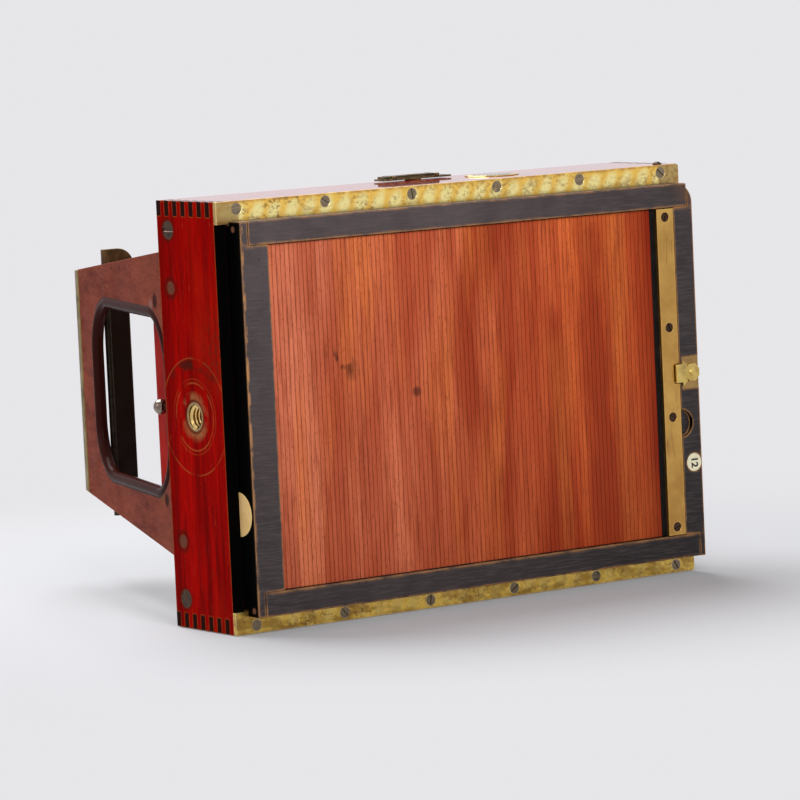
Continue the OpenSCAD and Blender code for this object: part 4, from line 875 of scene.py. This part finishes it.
def slat_sheet(name, y_out, way):
    """One slat, its row, and the cloth behind them; way is the side of y_out on which they lie."""
    bpy.ops.object.select_all(action="DESELECT")
    bpy.ops.mesh.primitive_cube_add(
        size=1.0, location=(tambour_left + slat_pitch / 2, y_out + way * slat_t / 2, slat_middle_z),
        scale=(slat_pitch - slat_gap, slat_t, slat_top - slat_bottom))
    slat = bpy.context.object
    slat.name = name
    bpy.ops.object.transform_apply(location=True, rotation=True, scale=True)
    bpy.ops.object.mode_set(mode="EDIT")
    bpy.ops.mesh.select_all(action="DESELECT")
    bpy.ops.object.mode_set(mode="OBJECT")
    for edge in slat.data.edges:
        a, b = (slat.data.vertices[i].co for i in edge.vertices)
        upright = abs(a.z - b.z) > 0.05
        outer = abs(a.y - y_out) < 0.0002
        edge.select = upright and outer
    bpy.ops.object.mode_set(mode="EDIT")
    bpy.ops.mesh.select_mode(type="EDGE")
    bpy.ops.mesh.bevel(offset=slat_arris, segments=2, profile=0.6)
    bpy.ops.object.mode_set(mode="OBJECT")
    row = slat.modifiers.new("row", "ARRAY")
    row.count = slat_count
    row.use_relative_offset = False
    row.use_constant_offset = True
    row.constant_offset_displace = (slat_pitch, 0, 0)
    finish_modifiers(slat)
    bpy.ops.mesh.primitive_cube_add(
        size=1.0,
        location=((tambour_left + tambour_right) / 2, y_out + way * (slat_t + cloth_t / 2), slat_middle_z),
        scale=(tambour_right - tambour_left, cloth_t, slat_top - slat_bottom - 0.0004))
    cloth = bpy.context.object
    bpy.ops.object.transform_apply(location=True, rotation=True, scale=True)
    bpy.ops.object.select_all(action="DESELECT")
    cloth.select_set(True)
    slat.select_set(True)
    bpy.context.view_layer.objects.active = slat
    bpy.ops.object.join()
    choose_only(slat)
    bpy.ops.object.shade_smooth_by_angle(angle=math.radians(40))
    return slat


def slat_polish():
    paint = Paint("tambour_polish", coat=0.01, coat_rough=0.12, gloss=0.05)
    x, y, z = paint.axes()
    from_left = paint.div(paint.sub(x, tambour_left), slat_pitch)
    each_slat = add_node(paint.tree, "TexWhiteNoise")
    each_slat.noise_dimensions = "1D"
    paint.join(paint.math("FLOOR", from_left), each_slat.inputs["W"])
    grain = paint.group(figure, Along=paint.stretch(900, 900, 55), Bands=0.12)
    wave = paint.cloud((40, 1, 8), 3.0, 0.5, 0.4, turn=(0, 0.18, 0))
    # Painted light and shade across the slats: paler and pinker towards the left, darker and redder towards
    # the right; fade also strengthens the dark streaks and the darkening at the foot on the right.
    fade = paint.ramp(x, -0.07, 0.06)
    long_grain = paint.ramp(grain["Figure"], 0.38, 0.64)
    left_tone = paint.mix(long_grain, (0.62, 0.155, 0.075), (0.88, 0.270, 0.145))
    right_tone = paint.mix(long_grain, (0.52, 0.062, 0.016), (0.90, 0.185, 0.045))
    color = paint.mix(fade, left_tone, right_tone)
    bands = paint.add(paint.between(x, -0.020, -0.004, 0.012), paint.between(x, 0.030, 0.040, 0.012))
    color = paint.mix(paint.mul(bands, 0.35), color, (0.34, 0.035, 0.012))
    color = paint.mix(paint.ramp(wave, 0.44, 0.62, 0.0, 0.55), color, (0.46, 0.062, 0.020))
    shade = paint.cloud((52, 1, 8), 3.0, 0.5, 0.4, shift=(2, 0, 6), turn=(0, 0.24, 0))
    shade = paint.ramp(shade, 0.46, 0.60, 0.0, 0.9)
    color = paint.mix(paint.mul(shade, paint.ramp(fade, 0.0, 0.6, 0.35, 1.0)), color, (0.36, 0.040, 0.014))
    gold = paint.cloud((58, 1, 8), 3.0, 0.5, 0.4, shift=(4, 0, 1), turn=(0, 0.16, 0))
    color = paint.mix(paint.ramp(gold, 0.52, 0.68, 0.0, 0.45), color, (0.94, 0.260, 0.060))
    color = paint.mix(paint.mul(each_slat.outputs["Value"], 0.30), color, (0.40, 0.060, 0.020))
    color = paint.mix(paint.mul(grain["Pore"], 0.45), color, (0.26, 0.040, 0.015))
    # painted shade: the slats darken towards the bottom, on the right
    low_shade = paint.mul(paint.ramp(z, 0.09, 0.018, 0.0, 0.30), fade)
    color = paint.mix(low_shade, color, (0.38, 0.045, 0.012))
    # painted shade: the slats darken towards the right end, beside the lead slat and the bar
    right_end_shade = paint.ramp(x, 0.083, tambour_right, 0.0, 0.75)
    color = paint.mix(right_end_shade, color, (0.22, 0.012, 0.004))
    bend = paint.mul(paint.sub(paint.cloud((160, 1, 70), 3.0), 0.5), 0.30)
    cell = paint.size(paint.sub(paint.math("FRACT", paint.add(from_left, bend)), 0.5))
    dashes = paint.ramp(paint.cloud((420, 1, 85), 4.0, 0.65, shift=(2, 0, 5)), 0.36, 0.60, 0.25, 1.0)
    groove = paint.mul(paint.ramp(cell, 0.39, 0.46), dashes)
    color = paint.mix(paint.mul(groove, 0.50), color, (0.17, 0.024, 0.009))
    grit = paint.ramp(paint.cloud((1300, 1300, 420), 3.0, 0.7), 0.56, 0.66, 0.0, 0.45)
    color = paint.mix(grit, color, (0.24, 0.040, 0.014))
    spot = paint.disc(x, z, *stain_place)
    color = paint.mix(paint.ramp(spot, 0.0013, 0.0026, 0.8, 0.0), color, (0.11, 0.026, 0.015))
    scuff = paint.disc(paint.add(x, paint.mul(z, 0.62)), z, *scuff_place)
    torn = paint.ramp(paint.cloud((300, 300, 160), 5.0), 0.5, 0.6)
    torn = paint.mul(paint.ramp(scuff, 0.003, 0.008, 1.0, 0.0), torn)
    color = paint.mix(paint.mul(torn, 0.8), color, (0.10, 0.024, 0.014))
    rough = paint.ramp(paint.cloud((120, 120, 40), 3.0), 0.3, 0.7, 0.28, 0.44)
    return paint.finish(color, rough, grain["Figure"], 0.00005, 0.3)


tambour_polish = slat_polish()
for name, node, y_out, way, joint in (
    ("rear_tambour_slats", "rear_tambour", back_y - 0.0082, 1, "rear_shutter_pull"),
    ("front_tambour_slats", "front_tambour", back_y + 0.0034, -1, "front_shutter_pull"),
):
    sheet = slat_sheet(name, y_out, way)
    sheet.data.materials.append(tambour_polish)
    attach(sheet, "holder")
    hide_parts(node)
    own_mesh(sheet)

# The pull bar and the latch: a flat brass bar screwed along the lead slat, and an eight sided turn catch
# on its own plate, riveted so that it turns over the bar and locks it.
bar_brass = aged_brass("bar_brass", (0.66, 0.40, 0.11), (0.46, 0.25, 0.065), (0.13, 0.045, 0.013), spots=45.0,
                       shine=(0.30, 0.45), streaks=(200, 200, 26))
dressed("pull_bar", "_rolled", 0.0003, bar_brass)
dressed("pull_bar_screws", "_slotted", 0.00012, screw_brass, 1)
dressed("latch_base", "_filed", 0.00015, base_brass, 1)
dressed("turn_latch", "_filed", 0.0002, latch_brass)

# Discs of ivory coloured celluloid: a round one let into the back of the holder, half of one on its left end.
# The round one is numbered for the plate it holds, in small dark figures; the half has yellowed more.


def yellowed_ivory():
    paint = Paint("ivory_disc", coat=0.1, coat_rough=0.15, gloss=0.2)
    tone = paint.cloud((260, 260, 260), 5.0)
    rub = paint.ramp(tone, 0.5, 0.75, 0.0, 0.6)
    round_disc = paint.mix(rub, (1.0, 0.93, 0.66), (0.82, 0.70, 0.42))
    half_disc = paint.mix(rub, (1.0, 0.67, 0.28), (0.84, 0.50, 0.17))
    color = paint.mix(paint.ramp(paint.axes()[0], 0.01, -0.01), round_disc, half_disc)
    return paint.finish(color, 0.35, tone, 0.00003, 0.2)


def printed_ink():
    paint = Paint("number_ink")
    tone = paint.cloud((900, 900, 900), 3.0)
    color = paint.mix(tone, (0.004, 0.004, 0.007), (0.014, 0.013, 0.018))
    return paint.finish(color, 0.6, tone, 0.00002, 0.2)


ivory = yellowed_ivory()
disc_face = (0.1105, back_y - 0.00981, 0.0462)
number_h = 0.0046
dressed("ivory_discs", "_turned", 0.0001, ivory, 1)
bpy.ops.object.select_all(action="DESELECT")
bpy.ops.object.text_add()
disc_number = bpy.context.object
disc_number.name = "disc_number"
disc_number.data.body = "12"
disc_number.data.size = number_h
disc_number.data.align_x = "CENTER"
disc_number.data.align_y = "CENTER"
disc_number.data.extrude = 0.00004
disc_number.data.offset = 0.00014
bpy.ops.object.convert(target="MESH")
disc_number.data.transform(Matrix.Rotation(math.radians(-90), 4, "Z"))
disc_number.data.transform(Matrix.Rotation(math.radians(90), 4, "X"))
disc_number.data.transform(Matrix.Translation(disc_face))
disc_number.data.materials.append(printed_ink())
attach(disc_number, "holder")

# Glass: the two plates in the holder with the black sheet between them, the lens, the level and the finder.
# All are clear with a faint smear on them; the plates are slightly green and the lens slightly blue.


def clear_glass(name, tint, rough=0.02):
    paint = Paint(name)
    paint.shader.inputs["Transmission Weight"].default_value = 0.9
    smear = paint.cloud((90, 90, 90), 4.0)
    color = paint.mix(smear, tint, tuple(c * 0.86 for c in tint))
    return paint.finish(color, paint.ramp(smear, 0.3, 0.7, rough, rough + 0.06))


plate_glass = clear_glass("plate_glass", (0.80, 0.88, 0.84))
lens_glass = clear_glass("lens_glass", (0.80, 0.84, 0.90), 0.01)
for node, glass in (
    ("glass_plates", plate_glass), ("lens_glasses", lens_glass),
    ("level_glass", plate_glass), ("finder_glass", plate_glass),
):
    repaint(node, glass)
repaint("holder_septum", black_inside)

# On top: the spirit level in its brass cup, the folded finder in black lacquered brass, and the catch pin.
# The cup is let into the board, the finder turns on its own pivot, and the pin dips into the holder.
dressed("level_ring", "_turned", 0.00012, bright_brass, 1)
for node in ("finder_pivot", "finder_bar", "finder_front_leaf", "finder_rear_leaf"):
    dressed(node, "_lacquered", 0.0001, black_lacquer, 1)
dressed("slide_catch", "_turned", 0.00012, screw_brass, 1)
